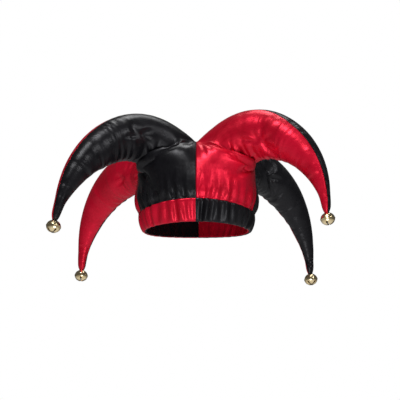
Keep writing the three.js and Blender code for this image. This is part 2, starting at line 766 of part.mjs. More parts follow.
// The whole hat: black and red change over at every seam
const hat = new THREE.Group();
hat.name = 'jester_hat';
const panelColour = {
  front_left: COLOURS.black,
  front_right: COLOURS.red,
  back_left: COLOURS.black,
  back_right: COLOURS.red,
};
const hornNamed = (name) => HORNS.find((horn) => horn.name === name);
const jingle = bellBody();
for (const horn of HORNS) {
  hat.add(quarterPanel(horn, panelColour[horn.name]), bell(horn, jingle), pellet(horn));
}
hat.add(
  gusset(hornNamed('front_left'), hornNamed('back_left'), COLOURS.red),
  gusset(hornNamed('front_right'), hornNamed('back_right'), COLOURS.black),
  bandHalf('left', COLOURS.red, -1),
  bandHalf('right', COLOURS.black, 1),
  facingHalf('left', COLOURS.black, -1),
  facingHalf('right', COLOURS.red, 1),
);

export default hat;
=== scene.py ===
"""Dresses the jester hat: sewn satin skin with cloth simulation, gathered band, bells and thread."""

import math

import bmesh
import bpy
import numpy as np
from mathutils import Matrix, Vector


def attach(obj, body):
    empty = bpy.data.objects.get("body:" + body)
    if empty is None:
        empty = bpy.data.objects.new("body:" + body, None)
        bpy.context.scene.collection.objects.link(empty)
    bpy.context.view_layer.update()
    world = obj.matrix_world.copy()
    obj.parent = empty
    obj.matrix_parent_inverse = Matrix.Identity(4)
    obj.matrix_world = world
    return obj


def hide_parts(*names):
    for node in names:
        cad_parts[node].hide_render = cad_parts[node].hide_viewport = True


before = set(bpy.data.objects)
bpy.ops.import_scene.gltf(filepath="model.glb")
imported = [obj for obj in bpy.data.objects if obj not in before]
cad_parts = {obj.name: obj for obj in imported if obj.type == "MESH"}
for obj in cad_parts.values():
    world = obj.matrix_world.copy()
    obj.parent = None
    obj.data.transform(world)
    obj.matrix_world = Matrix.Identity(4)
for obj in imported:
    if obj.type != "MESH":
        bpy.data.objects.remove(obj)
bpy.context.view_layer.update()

# Lengths below are in millimetres, as on the cutting table, until a mesh is made
MM = 0.001
METRE = 1000.0

# Cloth
CLOTH_WALL = 2.2
FACING_WALL = 1.5
FACING_GAP = 0.45
SEAM_SINK = 0.9
SEAM_INSET = 0.25
CENTRE_REACH = 0.6
CENTRE_LAP = 1.6
FLAT_CLEARANCE = 0.8

# Head opening, band and crown, as half sizes of ovals
RIM = (80.0, 82.0)
BAND_TOP = (87.0, 91.0)
CROWN = (94.0, 96.0)
BAND_HEIGHT = 27.0
RIM_RISE = {"front": 3.0, "back": 4.0}
BAND_TOP_RISE = {"front": 9.0, "back": 2.0}
BAND_BULGE = 1.2
CROWN_WIDEST_HEIGHT = 54.0
SIDE_SEAM_ANGLE = 74.0

# Where the horns spring from the crown
ROOTS = {
    "front": {"valley": (0.0, 38.0, 131.0), "fork": (83.0, 13.0, 99.0), "bulge": (0.3, 0.93, -0.15)},
    "back": {"valley": (0.0, 42.0, 120.0), "fork": (84.0, 16.0, 86.0), "bulge": (0.3, 0.93, -0.15)},
}
SADDLE_DIRECTION = (0.1, -0.95, 0.25)
SADDLE_DIP = 4.0
SADDLE_TOP_HANDLE = (30.0, 0.0, 4.0)
SADDLE_SIDE_HANDLE = (-4.0, 0.0, 16.0)
STEM_HANDLE = 0.36
STEM_DIRECTION = (0.25, 0.97, 0)

HORN_COLUMNS = ("side", "end", "azimuth", "length", "rise", "fall", "early", "twist", "girth")
HORNS = {
    "front_left": (-1, "front", 36, 259, 57.6, -75.8, 0.52, 14, 1.02),
    "front_right": (1, "front", 31.5, 243, 52.6, -86.8, 0.69, 38.4, 1.1),
    "back_left": (-1, "back", 42.5, 279, 20.6, -87.7, 0.99, -18, 1.03),
    "back_right": (1, "back", 41.5, 269, 28.7, -87.5, 0.75, -24, 0.96),
}
ROOT_BLEND = 0.35
UNDER_JOIN = 0.3
UNDER_START = (0.8, 0.6, 0.1)
TWIST_SHARE = 0.5
SQUARE_SHARE = 0.6
SQUARE_FROM = 0.08
SPINE_STEPS = 160

# Horn sections: share of the length, half width, half thickness outside and inside
SECTIONS = np.array([
    (0.0, 44.0, 50.0, 22.0),
    (0.14, 40.0, 38.0, 28.0),
    (0.3, 36.0, 32.0, 29.0),
    (0.5, 30.0, 26.0, 25.0),
    (0.7, 21.0, 18.5, 18.0),
    (0.86, 12.5, 11.5, 11.5),
    (1.0, 5.6, 5.2, 5.2),
])
HALF_WIDTH, OUTER, INNER = 1, 2, 3
TIP_SCALE = 0.55
TIP_LENGTH = 2.5
TIP_HEM = 3.0

# How finely the skin is laid out
SKIN_COLUMNS = 32
INNER_COLUMNS = 8
STEM_COLUMNS = 14
ACROSS = np.linspace(0, 1, SKIN_COLUMNS + 1)
FLAT_ACROSS = np.linspace(0.03, 0.97, INNER_COLUMNS + 1)
WALL_EVERY = SKIN_COLUMNS // INNER_COLUMNS
BEND_STEP = 3.6
TIP_STEP = 5.0
BEND_SHARE = 0.6
LOW_CROWN = np.linspace(0, 1, 8)
HIGH_CROWN = np.linspace(0, 1, 17)[1:-1]
STEP = 0.01

# Gathers
GATHERS_PER_TURN = 36
GATHER_DEPTH = 1.35
GATHER_SECOND = 0.45
GATHER_SECOND_RATE = 23
GATHER_DRIFT = 1.3


def smooth(value):
    value = np.clip(value, 0, 1)
    return value * value * (3 - 2 * value)


def mix(a, b, share):
    return np.asarray(a, float) * (1 - share) + np.asarray(b, float) * share


def unit(vector):
    return np.asarray(vector, float) / np.linalg.norm(vector)


def placed(name, data):
    """A new object in the scene."""
    obj = bpy.data.objects.new(name, data)
    bpy.context.collection.objects.link(obj)
    return obj


def curve(start, start_handle, end, end_handle, shares):
    """Cubic curve between two seam points, with a handle at each."""
    t = np.asarray(shares, float)[..., None]
    rest = 1 - t
    return (
        (rest ** 3 + 3 * rest ** 2 * t) * start
        + 3 * rest ** 2 * t * start_handle
        + (t ** 3 + 3 * rest * t ** 2) * end
        + 3 * rest * t ** 2 * end_handle
    )


# Head ovals
def oval_point(oval, angle, height):
    turn = math.radians(angle)
    return np.array([oval[0] * math.sin(turn), oval[1] * math.cos(turn), height])


def oval_normal(oval, angle):
    turn = math.radians(angle)
    return unit([math.sin(turn) / oval[0], math.cos(turn) / oval[1], 0])


def ring_point(oval, turn, height, offset):
    """A turn of 0 is the front, 90 the side and 180 the back."""
    angle, sign = (turn, -1) if turn <= 90 else (180 - turn, 1)
    point = oval_point(oval, angle, height) + oval_normal(oval, angle) * offset
    return point * (1, sign, 1)


def rise_at(rises, turn):
    end, angle = ("front", turn) if turn <= 90 else ("back", 180 - turn)
    return rises[end] * math.cos(math.radians(angle)) ** 2


def band_top_height(turn):
    return BAND_HEIGHT + rise_at(BAND_TOP_RISE, turn)


def gather(turn):
    angle = np.radians(turn)
    main = np.sin(GATHERS_PER_TURN * angle + GATHER_DRIFT * np.sin(3 * angle))
    return main + GATHER_SECOND * np.cos(GATHER_SECOND_RATE * angle)


def gather_fullness(turn):
    angle = np.radians(turn)
    return 0.75 + 0.25 * np.sin(angle * 5 + 1.1) + 0.2 * np.sin(angle * 11)


def low_crown_point(turn, share, offset):
    oval = mix(BAND_TOP, CROWN, math.sin(math.pi / 2 * share))
    height = mix(band_top_height(turn), CROWN_WIDEST_HEIGHT, share)
    return ring_point(oval, turn, height, offset)


def band_point(turn, share, offset):
    height = mix(rise_at(RIM_RISE, turn), band_top_height(turn), share)
    swell = BAND_BULGE * math.sin(math.pi * share)
    return ring_point(mix(RIM, BAND_TOP, share), turn, height, swell + offset)


# Crown rows above the widest height
def mid_seam(end, share):
    _, depth, height = ROOTS[end]["valley"]
    turn = math.pi / 2 * share
    return np.array([
        0.0,
        mix(depth, CROWN[1], math.cos(turn)),
        mix(CROWN_WIDEST_HEIGHT, height, math.sin(turn)),
    ])


def side_seam(end, share):
    fork = ROOTS[end]["fork"]
    base = oval_point(CROWN, SIDE_SEAM_ANGLE, CROWN_WIDEST_HEIGHT)
    return np.array([
        mix(base[0], fork[0], share ** 2),
        mix(base[1], fork[1], smooth(share)),
        mix(base[2], fork[2], share),
    ])


def crown_row(end, share, columns):
    turn = math.radians(SIDE_SEAM_ANGLE)
    reach = 4 / 3 * math.tan(turn / 4)
    root = unit(ROOTS[end]["bulge"]) * 4 / 3 * SECTIONS[0, OUTER]
    start = mix(reach * np.array([CROWN[0], 0, 0]), root, smooth(share))
    end_handle = reach * np.array([-CROWN[0] * math.cos(turn), CROWN[1] * math.sin(turn), 0])
    end_handle = mix(end_handle, root, smooth(share))
    return curve(mid_seam(end, share), start, side_seam(end, share), end_handle, columns)


def stem_row(share, columns):
    front, back = side_seam("front", share) * (1, -1, 1), side_seam("back", share)
    reach = STEM_HANDLE * np.linalg.norm(front - back)
    outward = np.array(STEM_DIRECTION) * reach
    return curve(front, outward, back, outward * (1, -1, 1), columns)


# Horns
def section_at(share, column):
    """Value of the section table, as a smooth curve through its rows."""
    shares, values = SECTIONS[:, 0], SECTIONS[:, column]
    slopes = np.diff(values) / np.diff(shares)
    tangents = np.concatenate([[slopes[0]], (slopes[1:] + slopes[:-1]) / 2, [slopes[-1]]])
    low = int(np.clip(np.searchsorted(shares, share) - 1, 0, len(shares) - 2))
    span = shares[low + 1] - shares[low]
    t = (share - shares[low]) / span
    return (
        (2 * t ** 3 - 3 * t ** 2 + 1) * values[low]
        + (t ** 3 - 2 * t ** 2 + t) * span * tangents[low]
        + (3 * t ** 2 - 2 * t ** 3) * values[low + 1]
        + (t ** 3 - t ** 2) * span * tangents[low + 1]
    )


class Horn:
    """The middle line of a horn and the seams that run beside it."""

    def __init__(self, name):
        self.name = name
        self.__dict__.update(zip(HORN_COLUMNS, HORNS[name]))
        self.sign = -1 if self.end == "front" else 1
        self.root = {key: np.array(value) for key, value in ROOTS[self.end].items()}
        azimuth = math.radians(self.azimuth)
        self.outward = np.array([math.cos(azimuth), math.sin(azimuth), 0])
        self.centres = [(self.root["valley"] + self.root["fork"]) / 2]
        for step in range(SPINE_STEPS):
            onward = self.direction((step + 0.5) / SPINE_STEPS) * self.length / SPINE_STEPS
            self.centres.append(self.centres[-1] + onward)

    def direction(self, share):
        slope = math.radians(mix(self.rise, self.fall, share ** self.early))
        return self.outward * math.cos(slope) + np.array([0, 0, math.sin(slope)])

    def size(self, share, column):
        """The table's size at a share of the length; the horn's own girth sets in after the root."""
        return section_at(share, column) * mix(1, self.girth, smooth(share / ROOT_BLEND))

    def centre(self, share):
        place = np.clip(share, 0, 1) * SPINE_STEPS
        low = min(int(place), SPINE_STEPS - 1)
        return mix(self.centres[low], self.centres[low + 1], place - low)

    def square_section(self, share):
        direction = self.direction(share)
        sideways = np.array([-self.outward[1], self.outward[0], 0])
        upward = -np.cross(sideways, direction)
        twist = math.radians(self.twist) * min(1, share / TWIST_SHARE)
        upward, sideways = (
            upward * math.cos(twist) + sideways * math.sin(twist),
            sideways * math.cos(twist) - upward * math.sin(twist),
        )
        root_up = self.root["valley"] - self.root["fork"]
        turned = smooth(share / ROOT_BLEND)
        seam = unit(mix(unit(root_up), upward, turned))
        widening = max(0, 1 - share / UNDER_JOIN) ** 2
        root_width = np.linalg.norm(root_up) / 2 / SECTIONS[0, HALF_WIDTH]
        half_width = self.size(share, HALF_WIDTH) * mix(1, root_width, widening)
        centre = self.centre(share)
        bulge = mix(unit(self.root["bulge"]), sideways, turned)
        return centre + seam * half_width, centre - seam * half_width, bulge

    def section(self, share):
        """Top seam, under seam, bulge direction and seam direction."""
        top, under, bulge = self.square_section(share)
        if share < UNDER_JOIN:
            join = self.square_section(UNDER_JOIN)[1]
            before = self.square_section(UNDER_JOIN - STEP)[1]
            fork = self.root["fork"]
            reach = np.linalg.norm(join - fork) / 3
            onward = unit(UNDER_START) * reach
            under = curve(fork, onward, join, unit(before - join) * reach, share / UNDER_JOIN)
        seam = unit(top - under)
        return top, under, unit(bulge - seam * np.dot(bulge, seam)), seam

    def flat_normal(self, share, width):
        low, high = self.section(max(0, share - STEP)), self.section(min(1, share + STEP))
        onward = mix(high[0], high[1], width) - mix(low[0], low[1], width)
        return unit(np.cross(self.section(share)[3], onward))

    def row(self, share, column, tip=False):
        """Outer line of one row; the column is OUTER or INNER."""
        top, under, bulge, _ = self.section(share)
        scale = TIP_SCALE if tip else 1
        middle = (top + under) / 2
        onward = self.direction(share) * (TIP_LENGTH + TIP_HEM if tip else 0)
        top, under = mix(middle, top, scale) + onward, mix(middle, under, scale) + onward
        facing = 1 if column == OUTER else -1
        root_side = bulge if column == OUTER else unit(SADDLE_DIRECTION)
        swell = unit(mix(root_side, bulge * facing, smooth(share / ROOT_BLEND)))
        squareness = SQUARE_SHARE * smooth(share / SQUARE_FROM)
        thickness = self.size(share, column) * scale * 4 / 3
        start = unit(mix(swell, self.flat_normal(share, 0) * facing, squareness)) * thickness
        end = unit(mix(swell, self.flat_normal(share, 1) * facing, squareness)) * thickness
        return curve(top, start, under, end, ACROSS) * (1, self.sign, 1)

    def rows(self, column):
        """All rows from root to tip; the last is the tip's own, drawn in."""
        return np.array([self.row(share, column) for share in self.shares()] + [self.row(1, column, tip=True)])

    def shares(self):
        bend = int(self.length * BEND_SHARE / BEND_STEP)
        tip = int(self.length * (1 - BEND_SHARE) / TIP_STEP)
        bent, straight = np.linspace(0, BEND_SHARE, bend + 1), np.linspace(BEND_SHARE, 1, tip + 1)
        return np.concatenate([bent, straight[1:]])

    def row_shares(self):
        return np.append(self.shares(), 1.0)


# Camera: the photograph looks up at the hat from a little below
CAMERA_DISTANCE = 2000.0
CAMERA_ELEVATION = -10.5
CAMERA_AZIMUTH = 1.0
CAMERA_TARGET = (4.8, 0.0, 49.3)
CAMERA_LENS = 120.0
CAMERA_SENSOR = 36
CAMERA_REACH = 50


def make_camera():
    camera = placed("camera", bpy.data.cameras.new("camera"))
    elevation, azimuth = math.radians(CAMERA_ELEVATION), math.radians(CAMERA_AZIMUTH)
    away = Vector((
        math.sin(azimuth) * math.cos(elevation),
        -math.cos(azimuth) * math.cos(elevation),
        math.sin(elevation),
    ))
    camera.location = (Vector(CAMERA_TARGET) + away * CAMERA_DISTANCE) * MM
    camera.rotation_euler = (-away).to_track_quat("-Z", "Y").to_euler()
    camera.data.lens = CAMERA_LENS
    camera.data.sensor_width = CAMERA_SENSOR
    camera.data.clip_end = CAMERA_REACH
    bpy.context.scene.camera = camera


make_camera()


# Wrinkles: the stuffed horns buckle across the inside of each bend
WRINKLE_SEED = {"front_left": 3, "front_right": 11, "back_left": 23, "back_right": 31}
WRINKLE_SPACING = (9.0, 19.0)
WRINKLE_WIDTH = (2.6, 5.0)
WRINKLE_DEPTH = (0.8, 2.6)
WRINKLE_REACH = (0.3, 0.75)
WRINKLE_TILT = 9.0
WRINKLE_END = 0.72


def horn_wrinkles(horn, share, across, key):
    """Depth in millimetres pressed in at a share of the length and a share across (0 top seam)."""
    random = np.random.default_rng(WRINKLE_SEED[horn.name] + key)
    place = share * horn.length
    depth = np.zeros(np.broadcast(place, across).shape)
    at = 4.0
    while at < WRINKLE_END * horn.length:
        strength = 1 - smooth((at / horn.length - 0.3) / (WRINKLE_END - 0.3))
        reach = random.uniform(*WRINKLE_REACH) * mix(0.55, 1.0, strength)
        width = random.uniform(*WRINKLE_WIDTH)
        pressed = random.uniform(*WRINKLE_DEPTH) * mix(0.25, 1.0, strength)
        tilt = random.uniform(-WRINKLE_TILT, WRINKLE_TILT)
        distance = (place - at - tilt * (1 - across) * (1 - strength * 0.3)) / width
        fade = smooth((across - (1 - reach)) / (0.6 * reach))
        depth += pressed * fade * np.exp(-distance ** 2)
        at += random.uniform(*WRINKLE_SPACING)
    return depth


# Fans of folds where a horn is drawn up out of the crown. Places are in millimetres on the cut
# cloth: across from the top seam, and along from the root, which is 0. A direction of 0 runs
# across, away from the top seam, and 90 runs along the horn to its tip
PANEL_WIDTH = 130.0
CROWN_LENGTH = 75.0
FOLD_COLUMNS = ("across", "along", "first", "last", "folds", "reach", "depth")
FOLD_FANS = {
    "front_left": (
        (128, 2, 128, 222, 8, 118, 8.0), (4, -2, -60, 50, 5, 52, 3.2), (64, 78, 110, 250, 4, 48, 2.6),
    ),
    "front_right": (
        (128, 6, 116, 226, 9, 116, 6.6), (4, -4, -60, 55, 5, 56, 3.2), (70, 84, 60, 250, 6, 58, 3.2),
    ),
    "back_left": (
        (128, 4, 130, 222, 6, 84, 4.6), (4, -4, -60, 50, 5, 40, 2.8), (80, 74, 80, 250, 5, 48, 2.6),
    ),
    "back_right": (
        (128, 4, 130, 222, 7, 92, 5.0), (4, -4, -60, 50, 5, 40, 2.8), (76, 70, 60, 250, 7, 58, 3.4),
    ),
}
FOLD_WIDTH = (2.6, 4.8)
FOLD_EDGE = 14.0


def fold_fans(horn, across, along, key):
    """Creases that run out from a few drawn-in places."""
    random = np.random.default_rng(WRINKLE_SEED[horn.name] * 7 + key)
    depth = np.zeros(np.broadcast(across, along).shape)
    for row in FOLD_FANS[horn.name]:
        fan = dict(zip(FOLD_COLUMNS, row))
        for fold in range(fan["folds"]):
            share = (fold + random.uniform(-0.3, 0.3)) / (fan["folds"] - 1)
            turn = math.radians(mix(fan["first"], fan["last"], share))
            length = fan["reach"] * random.uniform(0.6, 1.0)
            width = random.uniform(*FOLD_WIDTH)
            start = random.uniform(0.2, 0.34) * length
            bend = random.uniform(-0.2, 0.2)
            x, y = across - fan["across"], along - fan["along"]
            ahead = x * math.cos(turn) + y * math.sin(turn)
            aside = y * math.cos(turn) - x * math.sin(turn) - bend * np.clip(ahead, 0, None) ** 2 / length
            place = np.clip((ahead - start) / (length - start), 0, 1)
            along_fold = smooth(ahead / start) * (1 - smooth(place))
            pressed = fan["depth"] * random.uniform(0.6, 1.0) * along_fold * np.exp(-(aside / width) ** 2)
            depth = np.maximum(depth, pressed)
    return depth * smooth(np.minimum(across, PANEL_WIDTH - across) / FOLD_EDGE)


class SewnSkin:
    """All panels' outer cloth as one skin, so that neighbours share their seam points."""

    def __init__(self):
        self.points, self.pins, self.relief, self.spare, self.known = [], [], [], [], {}

    def add(self, point, pin, relief, spare):
        key = tuple(np.round(np.asarray(point) / 0.05).astype(int))
        for near in ((0, 0, 0), (1, 0, 0), (-1, 0, 0), (0, 1, 0), (0, -1, 0), (0, 0, 1), (0, 0, -1)):
            found = self.known.get((key[0] + near[0], key[1] + near[1], key[2] + near[2]))
            if found is not None:
                self.pins[found] = max(self.pins[found], pin)
                self.relief[found] = (self.relief[found] + relief) / 2
                return found
        self.known[key] = len(self.points)
        self.points.append(np.asarray(point, float))
        self.pins.append(pin)
        self.relief.append(relief)
        self.spare.append(spare)
        return len(self.points) - 1

    def grid(self, points, pins, relief, spare):
        rows, columns = points.shape[:2]
        return np.array([
            [self.add(points[r, c], pins[r, c], relief[r, c], spare[r, c]) for c in range(columns)]
            for r in range(rows)
        ])


def crown_upright(count):
    """Fold marks stand upright (1) at the band and are gone (0.5) half way up the crown."""
    return 1 - 0.5 * smooth(np.linspace(-0.3, 2.0, count))


def horn_upright(shares):
    """Fold marks set in after the root and lie across the horn (0)."""
    return 0.5 - 0.5 * smooth(shares / ROOT_BLEND)


CROWN_SPARE = 0.35
STEM_SPARE = 0.3


def spare_cloth(count, shares):
    """Share of spare length: full under the bends, a little on the crown, least along the back."""
    under_bend = 0.25 + 0.75 * smooth((ACROSS - 0.2) / 0.6)
    toward_tip = 1 - 0.8 * smooth((shares - 0.35) / 0.4)
    crown = np.full((max(0, count - len(shares)), len(ACROSS)), CROWN_SPARE)
    return crown, under_bend[None, :] * toward_tip[:, None]


PIN_AT_BAND = 1.0
PIN_AT_SEAM = 0.7
PIN_AT_FORK = 1.0
FORK_HELD = (26.0, 26.0)
PIN_AT_TIP = 1.0
TIP_PIN_FROM = 0.9
GATHER_RISE = 2.1
GATHER_TOP = 0.42
END_FADE = 12.0
PUCKER_SPACING = 8.5
PUCKER_DEPTH = 0.25
PUCKER_REACH = 7.0


def seam_pins(count_rows, columns, extra):
    pins = np.zeros((count_rows, columns + 1))
    pins[:, 0] = pins[:, -1] = PIN_AT_SEAM
    return np.maximum(pins, np.reshape(extra, (-1, 1)))


def fork_pins(along, columns):
    """Holds the cloth where horn, crown and gusset meet, which the stitches draw tight."""
    ahead, aside = along / FORK_HELD[0], (1 - columns) * PANEL_WIDTH / FORK_HELD[1]
    return PIN_AT_FORK * np.exp(-ahead[:, None] ** 2 - aside[None, :] ** 2)


def gathers_above_band(turns, side, columns):
    """Gathers of every crown row: fullest just above the band seam, gone by the horns."""
    shares = np.linspace(0, 1, columns + 1)
    angles = side * mix(turns[0], turns[1], shares)
    fade = smooth(END_FADE * np.minimum(shares, 1 - shares))
    heights = np.concatenate([LOW_CROWN * (1 - GATHER_TOP), 1 - GATHER_TOP + HIGH_CROWN])
    rising = mix(1.0, GATHER_RISE, smooth(heights / 0.22)) * (1 - smooth((heights - 0.12) / (0.95 - 0.12)))
    drift = np.radians(angles)[None, :] * 3 + heights[:, None] * 2.2
    wander = np.degrees(0.03 * heights[:, None] * np.sin(drift * 2.3))
    fade = fade * gather_fullness(angles)
    return -GATHER_DEPTH * gather(angles[None, :] + wander) * fade[None, :] * rising[:, None]


def low_crown_rows(turns, columns):
    """Rows from the band seam to the widest height."""
    angles = np.linspace(turns[0], turns[1], columns + 1)
    return np.array([[low_crown_point(angle, share, 0) for angle in angles] for share in LOW_CROWN])


def grid_lengths(points):
    """Lengths across each row from its first point, and along the middle column."""
    across = np.zeros(points.shape[:2])
    across[:, 1:] = np.cumsum(np.linalg.norm(np.diff(points, axis=1), axis=2), axis=1)
    steps = np.linalg.norm(np.diff(points[:, points.shape[1] // 2], axis=0), axis=1)
    return across, np.concatenate([[0], np.cumsum(steps)])


def seam_puckers(points, key):
    """Small puckers that the sewing leaves on both sides of a horn's seams."""
    random = np.random.default_rng(key)
    widths, along = grid_lengths(points)
    depth = np.zeros(points.shape[:2])
    for distance in (widths, widths[:, -1:] - widths):
        phase = along * 2 * math.pi / PUCKER_SPACING + 1.4 * np.sin(along / 17 + random.uniform(0, 6))
        wave = np.clip(np.sin(phase), -0.2, 1)[:, None] * random.uniform(0.5, 1, len(along))[:, None]
        depth += PUCKER_DEPTH * wave * np.exp(-(distance / PUCKER_REACH) ** 2)
    return depth


def tip_pins(shares):
    return PIN_AT_TIP * smooth((shares - TIP_PIN_FROM) / (1 - TIP_PIN_FROM))


def quarter_rows(horn):
    """Outer cloth of a crown quarter and its horn."""
    turns = (0, SIDE_SEAM_ANGLE) if horn.end == "front" else (180, 180 - SIDE_SEAM_ANGLE)
    low = low_crown_rows(turns, SKIN_COLUMNS)
    high = np.array([crown_row(horn.end, share, ACROSS) for share in HIGH_CROWN]) * (1, horn.sign, 1)
    shares = horn.row_shares()
    points = np.concatenate([low, high, horn.rows(OUTER)])
    wrinkles = horn_wrinkles(horn, shares[:, None], ACROSS[None, :], 0)
    wrinkles += seam_puckers(points[-len(shares):], WRINKLE_SEED[horn.name])
    relief = np.concatenate([gathers_above_band(turns, horn.side, SKIN_COLUMNS), wrinkles])
    crown = CROWN_LENGTH * (np.concatenate([LOW_CROWN * 0.2, 0.2 + HIGH_CROWN * 0.8]) - 1)
    along = np.concatenate([crown, shares * horn.length])
    relief += fold_fans(horn, ACROSS[None, :] * PANEL_WIDTH, along[:, None], 0)
    free = np.zeros(len(low) - 1 + len(high))
    pins = seam_pins(len(points), SKIN_COLUMNS, np.concatenate([[PIN_AT_BAND], free, tip_pins(shares)]))
    fork = fork_pins(along, ACROSS)
    return points, np.maximum(pins, fork), relief * (1 - fork)


def saddle_rows(front, back):
    """Outer cloth between the roots of the front and the back horn."""
    shares = np.linspace(0, 1, STEM_COLUMNS + 1)
    front_start, back_start = front.row(0, INNER)[0], back.row(0, INNER)[0]
    flow = unit(SADDLE_DIRECTION) * 4 / 3 * SECTIONS[0, INNER]
    rows = []
    for share, end in zip(shares, stem_row(1, shares)):
        start = mix(front_start, back_start, share) - (0, 0, SADDLE_DIP * 4 * share * (1 - share))
        turning = mix(flow * (1, -1, 1), flow, share)
        middle = math.sin(math.pi * share)
        top, side = mix(turning, SADDLE_TOP_HANDLE, middle), mix(turning, SADDLE_SIDE_HANDLE, middle)
        rows.append(curve(start, top, end, side, ACROSS))
    return np.array(rows)


def gusset_rows(front, back):
    """The front horn from its tip, the saddle and the back horn to its tip."""
    sides = []
    for horn in (front, back):
        rows, shares = horn.rows(INNER), horn.row_shares()
        relief = horn_wrinkles(horn, shares[:, None], ACROSS[None, :], 1)
        relief += seam_puckers(rows, WRINKLE_SEED[horn.name] + 1)
        relief += fold_fans(horn, ACROSS[None, :] * PANEL_WIDTH, shares[:, None] * horn.length, 1)
        pins = np.maximum(tip_pins(shares)[:, None], fork_pins(shares * horn.length, ACROSS))
        sides.append((rows, relief, pins))
    saddle = saddle_rows(front, back)[1:-1]
    (f_points, f_relief, f_pins), (b_points, b_relief, b_pins) = sides
    points = np.concatenate([f_points[::-1], saddle, b_points])
    relief = np.concatenate([f_relief[::-1], np.zeros(saddle.shape[:2]), b_relief])
    held = fork_pins(np.zeros(len(saddle)), ACROSS)
    pins = np.maximum(seam_pins(len(points), SKIN_COLUMNS, 0), np.concatenate([f_pins[::-1], held, b_pins]))
    return points, pins, relief


def stem_rows(side):
    turns = (SIDE_SEAM_ANGLE, 180 - SIDE_SEAM_ANGLE)
    low = low_crown_rows(turns, STEM_COLUMNS)
    high = np.array([stem_row(share, np.linspace(0, 1, STEM_COLUMNS + 1)) for share in HIGH_CROWN])
    points = np.concatenate([low, high])
    relief = gathers_above_band(turns, side, STEM_COLUMNS)
    return points, seam_pins(len(points), STEM_COLUMNS, [PIN_AT_BAND] + [0] * (len(points) - 1)), relief


def mesh_object(name, points, faces, smooth_shading=True):
    mesh = bpy.data.meshes.new(name)
    mesh.from_pydata([tuple(p) for p in points], [], [tuple(int(i) for i in f) for f in faces])
    mesh.validate()
    mesh.update()
    if smooth_shading:
        mesh.shade_smooth()
    return placed(name, mesh)


def grid_faces(ids, reverse=False):
    a, b, c, d = ids[:-1, :-1], ids[:-1, 1:], ids[1:, 1:], ids[1:, :-1]
    quads = np.stack([a, d, c, b] if reverse else [a, b, c, d], -1)
    return quads.reshape(-1, 4)


# Cloth simulation of the whole skin
CLOTH_FRAMES = 20
CLOTH_SETTINGS = dict(
    quality=6, mass=0.3, air_damping=2,
    tension_stiffness=12, compression_stiffness=6, shear_stiffness=4, bending_stiffness=0.15,
    use_pressure=True, uniform_pressure_force=4.0,
    shrink_min=0, shrink_max=-0.09, vertex_group_shrink="spare", vertex_group_mass="held", pin_stiffness=1,
)
CLOTH_MOTION_CAP = 5.0
SWELL_ROOM = 2.0
FOLDS_AGAIN = 0.9


def vertex_values(mesh, name):
    flat = np.empty(len(mesh.vertices) * 3)
    mesh.vertices.foreach_get(name, flat)
    return flat.reshape(-1, 3)


def vertex_positions(mesh):
    return vertex_values(mesh, "co")


def vertex_normals(mesh):
    return vertex_values(mesh, "normal")


def press_relief(obj, relief):
    """Moves the skin's points along its normals: wrinkles in, gathers out."""
    points = vertex_positions(obj.data) - vertex_normals(obj.data) * relief[:, None] * MM
    obj.data.vertices.foreach_set("co", points.ravel())
    obj.data.update()


def weight_group(obj, name, weights):
    group = obj.vertex_groups.new(name=name)
    for index, weight in enumerate(weights):
        if weight > 0:
            group.add([index], float(weight), "REPLACE")


def simulate_skin(obj, pins, spare):
    """Blender's cloth: a little spare length and pressure from the stuffing make it puff and crease."""
    before = vertex_positions(obj.data)
    weight_group(obj, "held", pins)
    weight_group(obj, "spare", spare)
    cloth = obj.modifiers.new("cloth", "CLOTH")
    for name, value in CLOTH_SETTINGS.items():
        setattr(cloth.settings, name, value)
    cloth.settings.effector_weights.gravity = 0
    cloth.collision_settings.use_collision = False
    cloth.collision_settings.use_self_collision = False
    scene = bpy.context.scene
    scene.frame_start, scene.frame_end = 1, CLOTH_FRAMES
    for number in range(1, CLOTH_FRAMES + 1):
        scene.frame_set(number)
    evaluated = obj.evaluated_get(bpy.context.evaluated_depsgraph_get())
    after = vertex_positions(evaluated.to_mesh())
    evaluated.to_mesh_clear()
    obj.modifiers.remove(cloth)
    scene.frame_set(1)
    moved = after - before
    length = np.linalg.norm(moved, axis=1, keepdims=True)
    cap = CLOTH_MOTION_CAP * MM
    points = before + moved * (cap * np.tanh(length / cap) / np.maximum(length, 1e-9))
    obj.data.vertices.foreach_set("co", points.ravel())
    obj.data.update()


